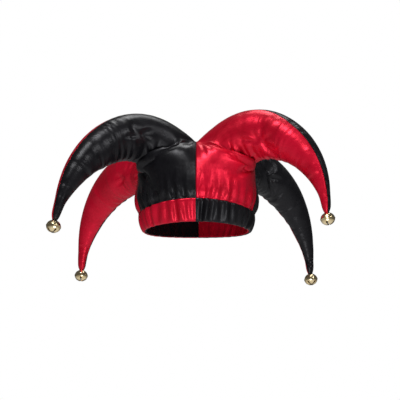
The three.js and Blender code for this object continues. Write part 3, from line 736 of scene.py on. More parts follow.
class Cloth:
    """One cut piece: outer skin by rows, a plain inner side, and the turned-in edges between them."""

    def __init__(self, name, colour, skin_points, skin_normals):
        self.name, self.colour = name, colour
        self.skin_points, self.skin_normals = skin_points, skin_normals
        self.points, self.cloth, self.faces, self.made = [], [], [], {}
        self.sharp = []

    def outer_point(self, skin_id, toward, cloth):
        """Point of the skin; on a seam it is sunk and set back from the seam."""
        if skin_id in self.made:
            return self.made[skin_id]
        point = self.skin_points[skin_id]
        if toward is not None:
            back = self.skin_points[toward] - point
            length = max(np.linalg.norm(back), 1e-6)
            set_back = back / length * min(SEAM_INSET, length / 3)
            point = point + set_back - self.skin_normals[skin_id] * SEAM_SINK
        self.made[skin_id] = self.add(point, cloth)
        return self.made[skin_id]

    def add(self, point, cloth):
        self.points.append(point)
        self.cloth.append(cloth)
        return len(self.points) - 1

    def outer_grid(self, ids, seams, cloth):
        """Seams name the sides of the grid that are sewn: left, right, first and last."""
        rows, columns = ids.shape
        made = np.zeros(ids.shape, int)
        for r in range(rows):
            for c in range(columns):
                toward = None
                if c == 0 and "left" in seams:
                    toward = ids[r, 1]
                elif c == columns - 1 and "right" in seams:
                    toward = ids[r, -2]
                elif r == 0 and "first" in seams:
                    toward = ids[1, c]
                elif r == rows - 1 and "last" in seams:
                    toward = ids[-2, c]
                made[r, c] = self.outer_point(ids[r, c], toward, cloth[r, c])
        self.faces += grid_faces(made).tolist()
        return made

    def inner_wall(self, ids, wall):
        """Inner side of a single wall below the named points; at the centre seam it laps to one side."""
        points = self.skin_points[ids] - self.skin_normals[ids] * wall
        centre = np.abs(self.skin_points[ids][..., 0]) < CENTRE_REACH
        points[..., 0] += centre * CENTRE_LAP
        return self.inner_points(points)

    def inner_points(self, points):
        flat = points.reshape(-1, 3)
        made = [self.add(point, (0, 0, 0)) for point in flat]
        return np.array(made).reshape(points.shape[:-1])

    def inner_grid(self, made):
        self.faces += grid_faces(made, reverse=True).tolist()

    def edge(self, outer, inner):
        """Turned-in edge between a line of outer points and a line of fewer or as many inner points."""
        each = (len(outer) - 1) // (len(inner) - 1)
        for index in range(len(inner) - 1):
            span = outer[index * each:(index + 1) * each + 1]
            self.faces.append([*span, inner[index + 1], inner[index]])
        self.sharp += [*zip(outer[:-1], outer[1:]), *zip(inner[:-1], inner[1:])]

    def fold_edges(self, obj):
        """Keeps the turned edges crisp, so that sewn neighbours meet closely."""
        places = {tuple(sorted(edge.vertices)): edge.index for edge in obj.data.edges}
        creases = np.zeros(len(obj.data.edges), np.float32)
        for pair in self.sharp:
            index = places.get(tuple(sorted(map(int, pair))))
            if index is not None:
                creases[index] = 1
        obj.data.attributes.new("crease_edge", "FLOAT", "EDGE").data.foreach_set("value", creases)

    def finish(self):
        obj = mesh_object(self.name, np.array(self.points) * MM, self.faces)
        face_outward(obj)
        put_cloth(obj, self.cloth)
        self.fold_edges(obj)
        obj.data.materials.append(self.colour)
        modifier = obj.modifiers.new("smooth", "SUBSURF")
        modifier.levels = modifier.render_levels = 1
        return obj


def signed_volume(mesh):
    mesh.calc_loop_triangles()
    points = vertex_positions(mesh)
    corners = np.array([triangle.vertices[:] for triangle in mesh.loop_triangles])
    a, b, c = points[corners[:, 0]], points[corners[:, 1]], points[corners[:, 2]]
    return float(np.einsum("ij,ij->i", a, np.cross(b, c)).sum() / 6)


def put_cloth(obj, cloth):
    """Stores how far across and along the cut cloth each point lies, in metres."""
    attribute = obj.data.attributes.new("cloth", "FLOAT_VECTOR", "POINT")
    attribute.data.foreach_set("vector", (np.array(cloth, float) * MM).ravel())


def face_outward(obj):
    """Turns all faces of a piece the same way, outward."""
    data = bmesh.new()
    data.from_mesh(obj.data)
    bmesh.ops.recalc_face_normals(data, faces=data.faces)
    data.to_mesh(obj.data)
    data.free()
    if signed_volume(obj.data) < 0:
        obj.data.flip_normals()


def cloth_of_grid(points, upright):
    """Lengths across and along a grid of the uncreased cloth, and where its folds stand upright."""
    across, along = grid_lengths(points)
    across = across - across[:, -1:] / 2
    shape = across.shape
    flow = np.clip(upright, 0, 1)[:, None] * METRE
    return np.stack([across, np.broadcast_to(along[:, None], shape), np.broadcast_to(flow, shape)], -1)


def flat_offsets(horn, column, shares):
    facing = 1 if column == OUTER else -1
    return np.array([
        [horn.flat_normal(min(share, 1), width) * facing * FLAT_CLEARANCE for width in FLAT_ACROSS]
        for share in shares
    ]) * (horn.side, horn.sign, 1)


def sides_of(grid):
    """First and last row, first and last column."""
    return grid[0], grid[-1], grid[:, 0], grid[:, -1]


class Hat:
    """Lays out every panel on one skin, has it simulated, and cuts it into panels again."""

    def __init__(self):
        self.skin = SewnSkin()
        self.horns = {name: Horn(name) for name in HORNS}
        self.quarters, self.gussets = {}, {}
        for name, horn in self.horns.items():
            points, pins, relief = quarter_rows(horn)
            points = points * (horn.side, 1, 1)
            shares = horn.row_shares()
            spare = np.concatenate(spare_cloth(len(points), shares))
            upright = np.concatenate([crown_upright(len(points) - len(shares)), horn_upright(shares)])
            self.quarters[name] = self.laid(points, pins, relief, spare, upright)
        for word, side in (("left", -1), ("right", 1)):
            front, back = self.horns[f"front_{word}"], self.horns[f"back_{word}"]
            points, pins, relief = gusset_rows(front, back)
            points = points * (side, 1, 1)
            stem, stem_pins, stem_relief = stem_rows(side)
            stem = stem * (side, 1, 1)
            ahead, behind = front.row_shares(), back.row_shares()
            saddle, front_spare = spare_cloth(len(points) - len(behind), ahead)
            spare = np.concatenate([front_spare[::-1], saddle, spare_cloth(0, behind)[1]])
            level = np.full(len(points) - len(ahead) - len(behind), 0.5)
            upright = np.concatenate([horn_upright(ahead)[::-1], level, horn_upright(behind)])
            stem_spare = np.full(stem.shape[:2], STEM_SPARE)
            self.gussets[word] = (
                *self.laid(points, pins, relief, spare, upright),
                *self.laid(stem, stem_pins, stem_relief, stem_spare, crown_upright(len(stem))),
            )
        self.settle()

    def laid(self, points, pins, relief, spare, upright):
        return self.skin.grid(points, pins, relief, spare), cloth_of_grid(points, upright)
        self.settle()

    def faces(self):
        faces = [grid_faces(ids) for ids, _ in self.quarters.values()]
        for word, (ids, _, stem, _) in self.gussets.items():
            start = self.saddle_start(word)
            under_ends = ids[start:start + STEM_COLUMNS + 1, -1]
            faces += [grid_faces(ids), grid_faces(stem), grid_faces(np.array([stem[-1], under_ends]))]
        return np.concatenate(faces)

    def saddle_start(self, word):
        """Row of the gusset where the front horn ends and the saddle begins."""
        return len(self.horns[f"front_{word}"].shares())

    def settle(self):
        raw = [face for face in self.faces() if len(set(face.tolist())) > 2]
        faces = [list(dict.fromkeys(face.tolist())) for face in raw]
        obj = mesh_object("hat_skin", np.array(self.skin.points) * MM, faces)
        face_outward(obj)
        pins = np.array(self.skin.pins)
        drawn_in = SWELL_ROOM * (1 - pins)
        press_relief(obj, np.array(self.skin.relief) + drawn_in)
        simulate_skin(obj, pins, np.array(self.skin.spare))
        press_relief(obj, np.array(self.skin.relief) * FOLDS_AGAIN * (1 - pins))
        self.points = vertex_positions(obj.data) / MM
        self.normals = vertex_normals(obj.data).copy()
        bpy.data.objects.remove(obj)

    def flats(self, horn, ids, column, shares):
        """Middle planes laid again between the seams as the simulation left them."""
        seams = np.stack([self.points[ids[:, 0]], self.points[ids[:, -1]]], 1)
        planes = [[mix(seam[0], seam[1], width) for width in FLAT_ACROSS] for seam in seams]
        return np.array(planes) + flat_offsets(horn, column, shares)

    def quarter(self, name, colour):
        horn, (ids, cloth) = self.horns[name], self.quarters[name]
        piece = Cloth(f"panel_{name}_cloth", colour, self.points, self.normals)
        outer = piece.outer_grid(ids, ("left", "right", "first"), cloth)
        shares = horn.row_shares()
        crown = len(ids) - len(shares)
        wall = piece.inner_wall(ids[:crown, ::WALL_EVERY], CLOTH_WALL)
        flats = piece.inner_points(self.flats(horn, ids[crown:], OUTER, shares))
        inner = np.concatenate([wall, flats])
        piece.inner_grid(inner)
        for outer_line, inner_line in zip(sides_of(outer), sides_of(inner)):
            piece.edge(outer_line, inner_line)
        return piece.finish()

    def gusset(self, word, colour):
        ids, cloth, stem, stem_cloth = self.gussets[word]
        front, back = self.horns[f"front_{word}"], self.horns[f"back_{word}"]
        piece = Cloth(f"gusset_{word}_cloth", colour, self.points, self.normals)
        start = self.saddle_start(word)
        end = start + STEM_COLUMNS
        outer = piece.outer_grid(ids[:start + 1], ("left", "right"), cloth[:start + 1])
        saddle = piece.outer_grid(ids[start:end + 1], ("left",), cloth[start:end + 1])
        rear = piece.outer_grid(ids[end:], ("left", "right"), cloth[end:])
        low = piece.outer_grid(stem, ("left", "right", "first"), stem_cloth)
        piece.faces += grid_faces(np.array([low[-1], saddle[:, -1]])).tolist()
        front_flat = piece.inner_points(self.flats(front, ids[:start + 1], INNER, front.row_shares()[::-1]))
        back_flat = piece.inner_points(self.flats(back, ids[end:], INNER, back.row_shares()))
        wall = piece.inner_wall(ids[start + 1:end, ::WALL_EVERY], CLOTH_WALL)
        inner = np.concatenate([front_flat, wall, back_flat])
        piece.inner_grid(inner)
        stem_wall = piece.inner_wall(stem, CLOTH_WALL)
        piece.inner_grid(stem_wall)
        piece.inner_grid(np.array([stem_wall[-1], inner[start:end + 1, -1]]))
        piece.edge(low[0], stem_wall[0])
        top = np.concatenate([outer[:, 0], saddle[1:, 0], rear[1:, 0]])
        piece.edge(top, inner[:, 0])
        piece.edge(outer[0], inner[0])
        piece.edge(rear[-1], inner[-1])
        piece.edge(
            np.concatenate([outer[:, -1], low[::-1, 0]]),
            np.concatenate([inner[:start + 1, -1], stem_wall[::-1, 0]]),
        )
        piece.edge(
            np.concatenate([low[:, -1], rear[:, -1]]),
            np.concatenate([stem_wall[:, -1], inner[end:, -1]]),
        )
        return piece.finish()


# Gathered band and its facing: closed halves, swept around the head
BAND_COLUMNS = 150
BAND_RIPPLE = 1.9
BAND_SEAM_GAP = 0.1
FACING_STEP = 0.9
BAND_SHARES = np.linspace(0, 1, 13)
FACING_SHARES = np.append(np.linspace(0.03, 1.3, 9), (1.32, 1.33))
RIPPLE_DRIFT = 0.9


def band_ripple(side, turn, share):
    """Ripples that meet the crown's at the seam and wander on their way down to the rim."""
    wander = RIPPLE_DRIFT * (1 - share) * math.sin(math.radians(side * turn) * 7 + 2 * share)
    height = mix(1.0, BAND_RIPPLE, math.sin(math.pi * min(1, share * 1.15)) ** 0.7)
    from_seam = min(turn % 180, 180 - turn, abs(turn - SIDE_SEAM_ANGLE), abs(180 - SIDE_SEAM_ANGLE - turn))
    fade = mix(1, float(smooth(END_FADE * from_seam / SIDE_SEAM_ANGLE)), share ** 4)
    return GATHER_DEPTH * height * fade * gather_fullness(side * turn) * gather(side * turn + wander * 2)


def ring_half(name, side, colour, loop_at, outer_count, step=0.0):
    """Sweeps a closed section around half of the head; loop_at gives the section at a turn."""
    ends = BAND_SEAM_GAP * np.array([1, 2, 4])
    start, stop = side * step, 180 - side * step
    between = np.linspace(start, stop, BAND_COLUMNS + 1)[1:-1]
    turns = np.concatenate([start + ends, between, stop - ends[::-1]])
    rings = np.array([loop_at(turn) for turn in turns]) * (side, 1, 1)
    count = rings.shape[1]
    ids = np.arange(rings.shape[0] * count).reshape(rings.shape[0], count)
    closed = np.concatenate([ids, ids[:, :1]], axis=1)
    faces = grid_faces(closed).tolist() + [ids[0].tolist(), ids[-1][::-1].tolist()]
    piece = Cloth(name, colour, None, None)
    piece.points = list(rings.reshape(-1, 3))
    steps = np.diff(rings[:, outer_count // 2], axis=0, prepend=rings[:1, 0])
    around = np.cumsum(np.linalg.norm(steps, axis=1))
    height = rings[..., 2]
    piece.cloth = list(np.stack([
        np.broadcast_to(around[:, None], height.shape), height, np.full(height.shape, METRE),
    ], -1).reshape(-1, 3))
    piece.faces = faces
    for loop in (closed[0], closed[-1]):
        piece.sharp += zip(loop[:-1], loop[1:])
    return piece.finish()


def end_fade(turn):
    return float(smooth(END_FADE * min(turn, 180 - turn) / SIDE_SEAM_ANGLE))


def band_half(word, side, colour):
    def lip(share):
        return SEAM_SINK * (1 if share in (0, 1) else 0)

    def loop_at(turn):
        fade = end_fade(turn)
        outer = [
            band_point(turn, share, fade * band_ripple(side, turn, share) - lip(share))
            for share in BAND_SHARES
        ]
        inner = [
            band_point(turn, share, -CLOTH_WALL + 0.5 * fade * min(0, band_ripple(side, turn, share)))
            for share in BAND_SHARES[::-2]
        ]
        return outer + inner

    return ring_half(f"band_{word}_cloth", side, colour, loop_at, len(BAND_SHARES))


def facing_half(word, side, colour):
    def loop_at(turn):
        fade = end_fade(turn)

        def line(offset, shares):
            folds = [fade * min(0, band_ripple(side, turn, min(1, share))) for share in shares]
            return [place(share, offset + fold) for share, fold in zip(shares, folds)]

        def place(share, offset):
            if share <= 1:
                return band_point(turn, share, offset)
            return low_crown_point(turn, share - 1, offset)

        outer = -CLOTH_WALL - FACING_GAP
        return line(outer, FACING_SHARES) + line(outer - FACING_WALL, FACING_SHARES[::-1])

    return ring_half(f"facing_{word}_cloth", side, colour, loop_at, len(FACING_SHARES), FACING_STEP)


# Jingle bells
BELL_RADIUS = 10.3
BELL_HEIGHT = 18.0
BELL_WALL = 1.0
BELL_RIDGE = (0.45, 0.9)
BELL_SLOT_WIDTH = 2.2
BELL_SLOT_LENGTH = 17.0
BELL_SLOT_DEPTH = 10.0
BELL_SLOT_END = 1.55
BELL_LOOP = dict(radius=1.4, wire=0.6, rise=0.4)
BELL_DROP = 0.45
BELL_SIDES = 64
BELL_RINGS = 40
SHARP_EDGE = 38
BELL_HANGS = {
    "front_left": dict(turn=38, forward=-14, aside=9),
    "front_right": dict(turn=-22, forward=-8, aside=-8),
    "back_left": dict(turn=4, forward=-20, aside=2),
    "back_right": dict(turn=47, forward=-22, aside=-6),
}
PELLET_RADIUS = 2.6
PELLET_LIFT = 0.3
PELLET_UNEVEN = 0.06


def lathe(profile, sides):
    """Turns a profile of (radius, height) pairs, poles closed with single points."""
    data = bmesh.new()
    rings = []
    for radius, height in profile:
        if radius < 1e-6:
            rings.append([data.verts.new((0, 0, height))])
            continue
        angles = np.linspace(0, 2 * math.pi, sides, endpoint=False)
        rings.append([data.verts.new((radius * math.cos(a), radius * math.sin(a), height)) for a in angles])
    for low, high in zip(rings, rings[1:]):
        for index in range(sides):
            after = (index + 1) % sides
            below = [low[index % len(low)], low[after % len(low)]]
            above = [high[after % len(high)], high[index % len(high)]]
            data.faces.new(list(dict.fromkeys(below + above)))
    return data


def object_from(data, name):
    mesh = bpy.data.meshes.new(name)
    data.to_mesh(mesh)
    data.free()
    return placed(name, mesh)


def bell_profile(inset):
    angles = np.linspace(-math.pi / 2, math.pi / 2, BELL_RINGS + 1)
    rise, half_width = BELL_RIDGE
    profile = []
    for angle in angles:
        height = (BELL_HEIGHT / 2 - inset) * math.sin(angle)
        radius = (BELL_RADIUS - inset) * math.cos(angle)
        ridge = 0 if inset else rise * math.exp(-(height / half_width) ** 4)
        profile.append((max(0, radius + ridge) * MM, height * MM))
    profile[0], profile[-1] = (0, profile[0][1]), (0, profile[-1][1])
    return profile


def slot_cutter(along_x):
    """A slot with a round hole at each end."""
    half, width = BELL_SLOT_LENGTH / 2, BELL_SLOT_WIDTH / 2
    reach = half - BELL_SLOT_END
    outline = []
    for turn in np.linspace(-0.75, 0.75, 13):
        angle = turn * math.pi
        outline.append((reach + BELL_SLOT_END * math.cos(angle), BELL_SLOT_END * math.sin(angle)))
    outline = [(x, y) for x, y in outline if x > reach - width or abs(y) >= width * 0.98]
    outline += [(-x, -y) for x, y in outline]
    data = bmesh.new()
    low, high = -BELL_HEIGHT / 2 - BELL_SLOT_DEPTH / 2, -BELL_HEIGHT / 2 + BELL_SLOT_DEPTH / 2
    rings = []
    for height in (low, high):
        rings.append([
            data.verts.new((x * MM, y * MM, height * MM) if along_x else (-y * MM, x * MM, height * MM))
            for x, y in outline
        ])
    data.faces.new(rings[0][::-1])
    data.faces.new(rings[1])
    for index in range(len(outline)):
        after = (index + 1) % len(outline)
        data.faces.new([rings[0][index], rings[0][after], rings[1][after], rings[1][index]])
    bmesh.ops.recalc_face_normals(data, faces=data.faces)
    return object_from(data, "slot_cutter")


def taken_out_of(obj, cutter):
    modifier = obj.modifiers.new("cut", "BOOLEAN")
    modifier.operation, modifier.solver, modifier.object = "DIFFERENCE", "EXACT", cutter
    mesh = bpy.data.meshes.new_from_object(obj.evaluated_get(bpy.context.evaluated_depsgraph_get()))
    obj.modifiers.remove(modifier)
    obj.data = mesh
    bpy.data.objects.remove(cutter)


def torus(data, centre, radius, wire, around=32, section=12):
    """Adds a ring that stands upright across the bell, its hole along Y."""
    rings = []
    for turn in np.linspace(0, 2 * math.pi, around, endpoint=False):
        out = np.array([math.cos(turn), 0, math.sin(turn)])
        rings.append([
            data.verts.new(tuple((np.array(centre) + out * (radius + wire * math.cos(a))
                                  + np.array([0, wire * math.sin(a), 0])) * MM))
            for a in np.linspace(0, 2 * math.pi, section, endpoint=False)
        ])
    for index, ring in enumerate(rings):
        after = rings[(index + 1) % around]
        for corner in range(section):
            beside = (corner + 1) % section
            data.faces.new([ring[corner], ring[beside], after[beside], after[corner]])


def jingle_bell():
    """The bell at the origin: a pressed shell with crossed slots, and its soldered loop."""
    shell = lathe(bell_profile(0), BELL_SIDES)
    bmesh.ops.recalc_face_normals(shell, faces=shell.faces)
    inside = lathe(bell_profile(BELL_WALL), BELL_SIDES)
    bmesh.ops.recalc_face_normals(inside, faces=inside.faces)
    bmesh.ops.reverse_faces(inside, faces=inside.faces)
    spare = bpy.data.meshes.new("inside")
    inside.to_mesh(spare)
    inside.free()
    shell.from_mesh(spare)
    bpy.data.meshes.remove(spare)
    obj = object_from(shell, "bell")
    taken_out_of(obj, slot_cutter(True))
    taken_out_of(obj, slot_cutter(False))
    data = bmesh.new()
    data.from_mesh(obj.data)
    before = len(data.faces)
    torus(data, (0, 0, BELL_HEIGHT / 2 + BELL_LOOP["rise"]), BELL_LOOP["radius"], BELL_LOOP["wire"])
    data.faces.ensure_lookup_table()
    bmesh.ops.recalc_face_normals(data, faces=data.faces[before:])
    data.to_mesh(obj.data)
    data.free()
    return obj


def bell_centre(horn):
    tip = horn.centre(1) + horn.direction(1) * TIP_LENGTH
    above = BELL_HEIGHT / 2 + BELL_LOOP["rise"] + BELL_LOOP["radius"] + BELL_LOOP["wire"]
    return tip * (horn.side, horn.sign, 1) - (0, 0, BELL_DROP + above)


def hung(points, horn):
    """Turns a bell's points, given about its centre, and hangs them askew from its loop."""
    angles = {key: math.radians(value) for key, value in BELL_HANGS[horn.name].items()}
    hang = np.array([0, 0, BELL_HEIGHT / 2 + BELL_LOOP["rise"]]) * MM
    turn, forward, aside = angles["turn"], angles["forward"], angles["aside"]
    x, y, z = points.T
    x, y = x * math.cos(turn) - y * math.sin(turn), x * math.sin(turn) + y * math.cos(turn)
    z = z - hang[2]
    y, z = y * math.cos(forward) - z * math.sin(forward), y * math.sin(forward) + z * math.cos(forward)
    x, z = x * math.cos(aside) + z * math.sin(aside), z * math.cos(aside) - x * math.sin(aside)
    return np.stack([x, y, z], -1) + hang + bell_centre(horn) * MM


def placed_bell(pattern, horn, gold):
    obj = placed(f"bell_{horn.name}_gilt", pattern.data.copy())
    turned = hung(vertex_positions(obj.data), horn)
    obj.data.vertices.foreach_set("co", turned.ravel())
    obj.data.materials.clear()
    obj.data.materials.append(gold)
    obj.data.shade_smooth()
    obj.data.set_sharp_from_angle(angle=math.radians(SHARP_EDGE))
    return obj


def placed_pellet(horn, steel):
    """A cropped steel pellet, a little uneven, lying in the bottom of its bell."""
    data = bmesh.new()
    bmesh.ops.create_icosphere(data, subdivisions=3, radius=PELLET_RADIUS * MM)
    random = np.random.default_rng(WRINKLE_SEED[horn.name])
    lobes = random.normal(size=(5, 3))
    rest = -BELL_HEIGHT / 2 + BELL_WALL + PELLET_LIFT + PELLET_RADIUS
    place = hung(np.array([[0, 0, rest * MM]]), horn)[0]
    for vert in data.verts:
        direction = np.array(vert.co.normalized())
        uneven = 1 - PELLET_UNEVEN * max(0, float(np.max(lobes @ direction)) / 3)
        vert.co = Vector(direction * PELLET_RADIUS * uneven * MM + place)
    obj = object_from(data, f"pellet_{horn.name}_steel")
    obj.data.shade_smooth()
    obj.data.materials.append(steel)
    return obj


# Thread that sews each bell on
THREAD = dict(wraps=7, radius=0.16, half_width=1.25, half_height=2.6, spread=0.17, tilt=0.22)
THREAD_RISE = 2.5
THREAD_LENGTHS = {
    "Thread radius": "radius", "Half width": "half_width", "Half height": "half_height", "Spread": "spread",
}


def input_socket(tree, name, kind, default):
    socket = tree.interface.new_socket(name=name, in_out="INPUT", socket_type=kind)
    socket.default_value = default
    return socket.identifier


def thread_tree(thread):
    """Loops of thread side by side, each tilted a little its own way."""
    tree = bpy.data.node_groups.new("thread wraps", "GeometryNodeTree")
    input_socket(tree, "Wraps", "NodeSocketInt", THREAD["wraps"])
    for label, key in THREAD_LENGTHS.items():
        input_socket(tree, label, "NodeSocketFloat", THREAD[key] * MM)
    input_socket(tree, "Tilt", "NodeSocketFloat", THREAD["tilt"])
    names = {
        "place": input_socket(tree, "Place", "NodeSocketVector", (0, 0, 0)),
        "seed": input_socket(tree, "Seed", "NodeSocketInt", 1),
    }
    tree.interface.new_socket(name="Geometry", in_out="OUTPUT", socket_type="NodeSocketGeometry")
    new, link = tree.nodes.new, tree.links.new
    given, out = new("NodeGroupInput"), new("NodeGroupOutput")

    def math_node(operation, first, second):
        node = new("ShaderNodeMath")
        node.operation = operation
        for socket, value in zip(node.inputs, (first, second)):
            if isinstance(value, (int, float)):
                socket.default_value = value
            else:
                link(value, socket)
        return node.outputs[0]

    ring = new("GeometryNodeCurvePrimitiveCircle")
    ring.inputs["Resolution"].default_value = 28
    ring.inputs["Radius"].default_value = 1
    size = new("ShaderNodeCombineXYZ")
    link(given.outputs["Half height"], size.inputs["X"])
    link(given.outputs["Half width"], size.inputs["Y"])
    size.inputs["Z"].default_value = 1
    upright = new("GeometryNodeTransform")
    upright.inputs["Rotation"].default_value = (0, math.pi / 2, 0)
    link(ring.outputs[0], upright.inputs["Geometry"])
    link(size.outputs[0], upright.inputs["Scale"])
    section = new("GeometryNodeCurvePrimitiveCircle")
    section.inputs["Resolution"].default_value = 6
    link(given.outputs["Thread radius"], section.inputs["Radius"])
    wrap = new("GeometryNodeCurveToMesh")
    link(upright.outputs[0], wrap.inputs["Curve"])
    link(section.outputs[0], wrap.inputs["Profile Curve"])
    index = new("GeometryNodeInputIndex")
    last = math_node("SUBTRACT", given.outputs["Wraps"], 1)
    middle = math_node("DIVIDE", last, 2.0)
    beside = math_node("MULTIPLY", math_node("SUBTRACT", index.outputs[0], middle), given.outputs["Spread"])
    offset = new("ShaderNodeCombineXYZ")
    link(beside, offset.inputs["X"])
    place = new("ShaderNodeVectorMath")
    link(offset.outputs[0], place.inputs[0])
    link(given.outputs["Place"], place.inputs[1])
    points = new("GeometryNodePoints")
    link(given.outputs["Wraps"], points.inputs["Count"])
    link(place.outputs[0], points.inputs["Position"])
    tilt = new("FunctionNodeRandomValue")
    tilt.data_type = "FLOAT_VECTOR"
    link(math_node("MULTIPLY", given.outputs["Tilt"], -1.0), tilt.inputs[0])
    link(given.outputs["Tilt"], tilt.inputs[1])
    link(given.outputs["Seed"], tilt.inputs["Seed"])
    laid = new("GeometryNodeInstanceOnPoints")
    link(points.outputs[0], laid.inputs["Points"])
    link(wrap.outputs[0], laid.inputs["Instance"])
    link(tilt.outputs[0], laid.inputs["Rotation"])
    real, colour = new("GeometryNodeRealizeInstances"), new("GeometryNodeSetMaterial")
    link(laid.outputs[0], real.inputs[0])
    link(real.outputs[0], colour.inputs["Geometry"])
    colour.inputs["Material"].default_value = thread
    link(colour.outputs[0], out.inputs[0])
    return tree, names


def thread_wraps(tree, names, horn, thread):
    carrier = placed("carrier", bpy.data.meshes.new("carrier"))
    modifier = carrier.modifiers.new("wraps", "NODES")
    modifier.node_group = tree
    place = bell_centre(horn) + (0, 0, BELL_HEIGHT / 2 + BELL_LOOP["rise"] + THREAD_RISE)
    modifier[names["place"]] = tuple(float(value) for value in place * MM)
    modifier[names["seed"]] = 1 + list(HORNS).index(horn.name)
    mesh = bpy.data.meshes.new_from_object(carrier.evaluated_get(bpy.context.evaluated_depsgraph_get()))
    bpy.data.objects.remove(carrier)
    obj = placed(f"thread_{horn.name}", mesh)
    mesh.shade_smooth()
    if not mesh.materials:
        mesh.materials.append(thread)
    return obj


# Materials
class Finish:
    """A node material with short helpers for its graph."""

    def __init__(self, name):
        self.material = bpy.data.materials.new(name)
        self.material.use_nodes = True
        self.nodes, self.links = self.material.node_tree.nodes, self.material.node_tree.links
        self.shader = self.nodes["Principled BSDF"]

    def fixed(self, **values):
        for name, value in values.items():
            self.shader.inputs[name.replace("_", " ").title().replace("Ior", "IOR")].default_value = value

    def node(self, kind, inputs=None, **settings):
        node = self.nodes.new(kind)
        for name, value in settings.items():
            setattr(node, name, value)
        for name, value in (inputs or {}).items():
            if isinstance(value, bpy.types.NodeSocket):
                self.links.new(value, node.inputs[name])
            else:
                node.inputs[name].default_value = value
        return node

    def place(self, scale, source):
        return self.node("ShaderNodeMapping", {"Vector": source, "Scale": scale}).outputs[0]

    def noise(self, source, scale, detail=3.0, rough=0.5, distortion=0.0):
        return self.node("ShaderNodeTexNoise", {
            "Vector": source, "Scale": scale, "Detail": detail, "Roughness": rough, "Distortion": distortion,
        }).outputs["Fac"]

    def folding(self, along, upright, lying, standing, detail):
        """Fold marks that lie across the horns and stand upright on the crown and band."""
        first = self.noise(self.place((*lying, 0.0), along), 1.0, detail, 0.5, 0.8)
        second = self.noise(self.place((*standing, 0.0), along), 1.0, detail, 0.5, 0.5)
        mixed = self.node("ShaderNodeMix", {0: upright, 2: first, 3: second}, data_type="FLOAT").outputs[0]
        present = self.calculate("ABSOLUTE", self.range(upright, 0.0, 1.0, -0.7, 1.0), 0.0)
        return self.calculate("MULTIPLY", self.calculate("SUBTRACT", mixed, 0.5), present)

    def range(self, value, low, high, to_low=0.0, to_high=1.0):
        return self.node("ShaderNodeMapRange", {
            "Value": value, "From Min": low, "From Max": high, "To Min": to_low, "To Max": to_high,
        }).outputs[0]

    def calculate(self, operation, first, second):
        return self.node("ShaderNodeMath", {0: first, 1: second}, operation=operation).outputs[0]

    def blend(self, share, first, second):
        return self.node("ShaderNodeMix", {0: share, 6: first, 7: second}, data_type="RGBA").outputs[2]

    def bump(self, height, depth, strength=1.0, after=None):
        node = self.node("ShaderNodeBump", {"Height": height, "Distance": depth, "Strength": strength})
        if after is not None:
            self.links.new(after, node.inputs["Normal"])
        return node.outputs[0]

    def set(self, name, value):
        self.links.new(value, self.shader.inputs[name])


# Marks on a metre of satin, across and along: lying on the horns, standing at the band
CRUSH_MARKS = {"lying": (20.0, 85.0), "standing": (95.0, 18.0), "detail": 2.5}
SWELL_MARKS = {"lying": (8.0, 40.0), "standing": (46.0, 9.0), "detail": 1.0}
# Scale of the lighter thread streaks across and along the cloth, a painted sheen on the satin
THREAD_SHEEN_MARKS = (900.0, 160.0, 1.0)
WEAVE_BANDS = 560.0
# Depth in metres and strength of each layer of the satin's surface
SWELL_BUMP = (0.008, 0.8)
CRUSH_BUMP = (0.0022, 0.8)
FINE_BUMP = (0.0003, 0.4)
WEAVE_BUMP = (0.00006, 0.4)
SATIN_ROUGHNESS = (0.26, 0.38)
SATIN_SHEEN = 0.008


def satin(name, deep, plain, lit, sheen_tint, metallic, gloss):
    """Woven satin: swells and crush marks that follow the folds, over a fine diagonal weave, with a painted
    sheen in lighter thread streaks.
    """
    cloth = Finish(name)
    along = cloth.node("ShaderNodeAttribute", attribute_name="cloth").outputs["Vector"]
    place = cloth.node("ShaderNodeTexCoord").outputs["Object"]
    patches = cloth.noise(place, 26.0, 3.0)
    # Thread streaks mixed toward the lit colour: a painted sheen along the weave
    thread_sheen = cloth.noise(cloth.place(THREAD_SHEEN_MARKS, along), 1.0, 2.0)
    tone = cloth.blend(cloth.range(patches, 0.35, 0.65), deep, plain)
    cloth.set("Base Color", cloth.blend(cloth.range(thread_sheen, 0.35, 0.8, 0.0, 0.5), tone, lit))
    cloth.set("Roughness", cloth.range(cloth.noise(place, 70.0, 4.0), 0.3, 0.7, *SATIN_ROUGHNESS))
    upright = cloth.node("ShaderNodeSeparateXYZ", {"Vector": along}).outputs["Z"]
    crush = cloth.folding(along, upright, **CRUSH_MARKS)
    swells = cloth.folding(along, upright, **SWELL_MARKS)
    worn = cloth.range(cloth.noise(place, 16.0, 1.0), 0.4, 0.65, 0.3, 1.0)
    weave = cloth.node("ShaderNodeTexWave", {
        "Vector": along, "Scale": WEAVE_BANDS, "Distortion": 0.6, "Detail": 1.0,
    }, wave_type="BANDS", bands_direction="DIAGONAL").outputs["Fac"]
    broad = cloth.bump(swells, *SWELL_BUMP)
    soft = cloth.bump(cloth.calculate("MULTIPLY", crush, worn), *CRUSH_BUMP, broad)
    fine = cloth.bump(cloth.noise(place, 150.0, 2.0), *FINE_BUMP, soft)
    cloth.set("Normal", cloth.bump(weave, *WEAVE_BUMP, fine))
    cloth.fixed(sheen_weight=SATIN_SHEEN, sheen_roughness=0.35, sheen_tint=sheen_tint, metallic=metallic)
    cloth.shader.inputs["Specular IOR Level"].default_value = gloss
    cloth.shader.inputs["Specular Tint"].default_value = sheen_tint
    return cloth.material


def gilt():
    """Bright plated shell, dulled in patches, with fine rub marks."""
    metal = Finish("bright gilt")
    place = metal.node("ShaderNodeTexCoord").outputs["Object"]
    patches = metal.noise(place, 130.0, 4.0)
    rub = metal.noise(metal.place((1.0, 1.0, 9.0), place), 900.0, 2.0)
    metal.set("Base Color", metal.blend(
        metal.range(patches, 0.4, 0.7), (0.83, 0.69, 0.43, 1), (0.62, 0.48, 0.25, 1),
    ))
    metal.set("Roughness", metal.range(patches, 0.35, 0.75, 0.14, 0.3))
    metal.set("Normal", metal.bump(rub, 0.00005, 0.3))
    metal.fixed(metallic=1.0)
    return metal.material


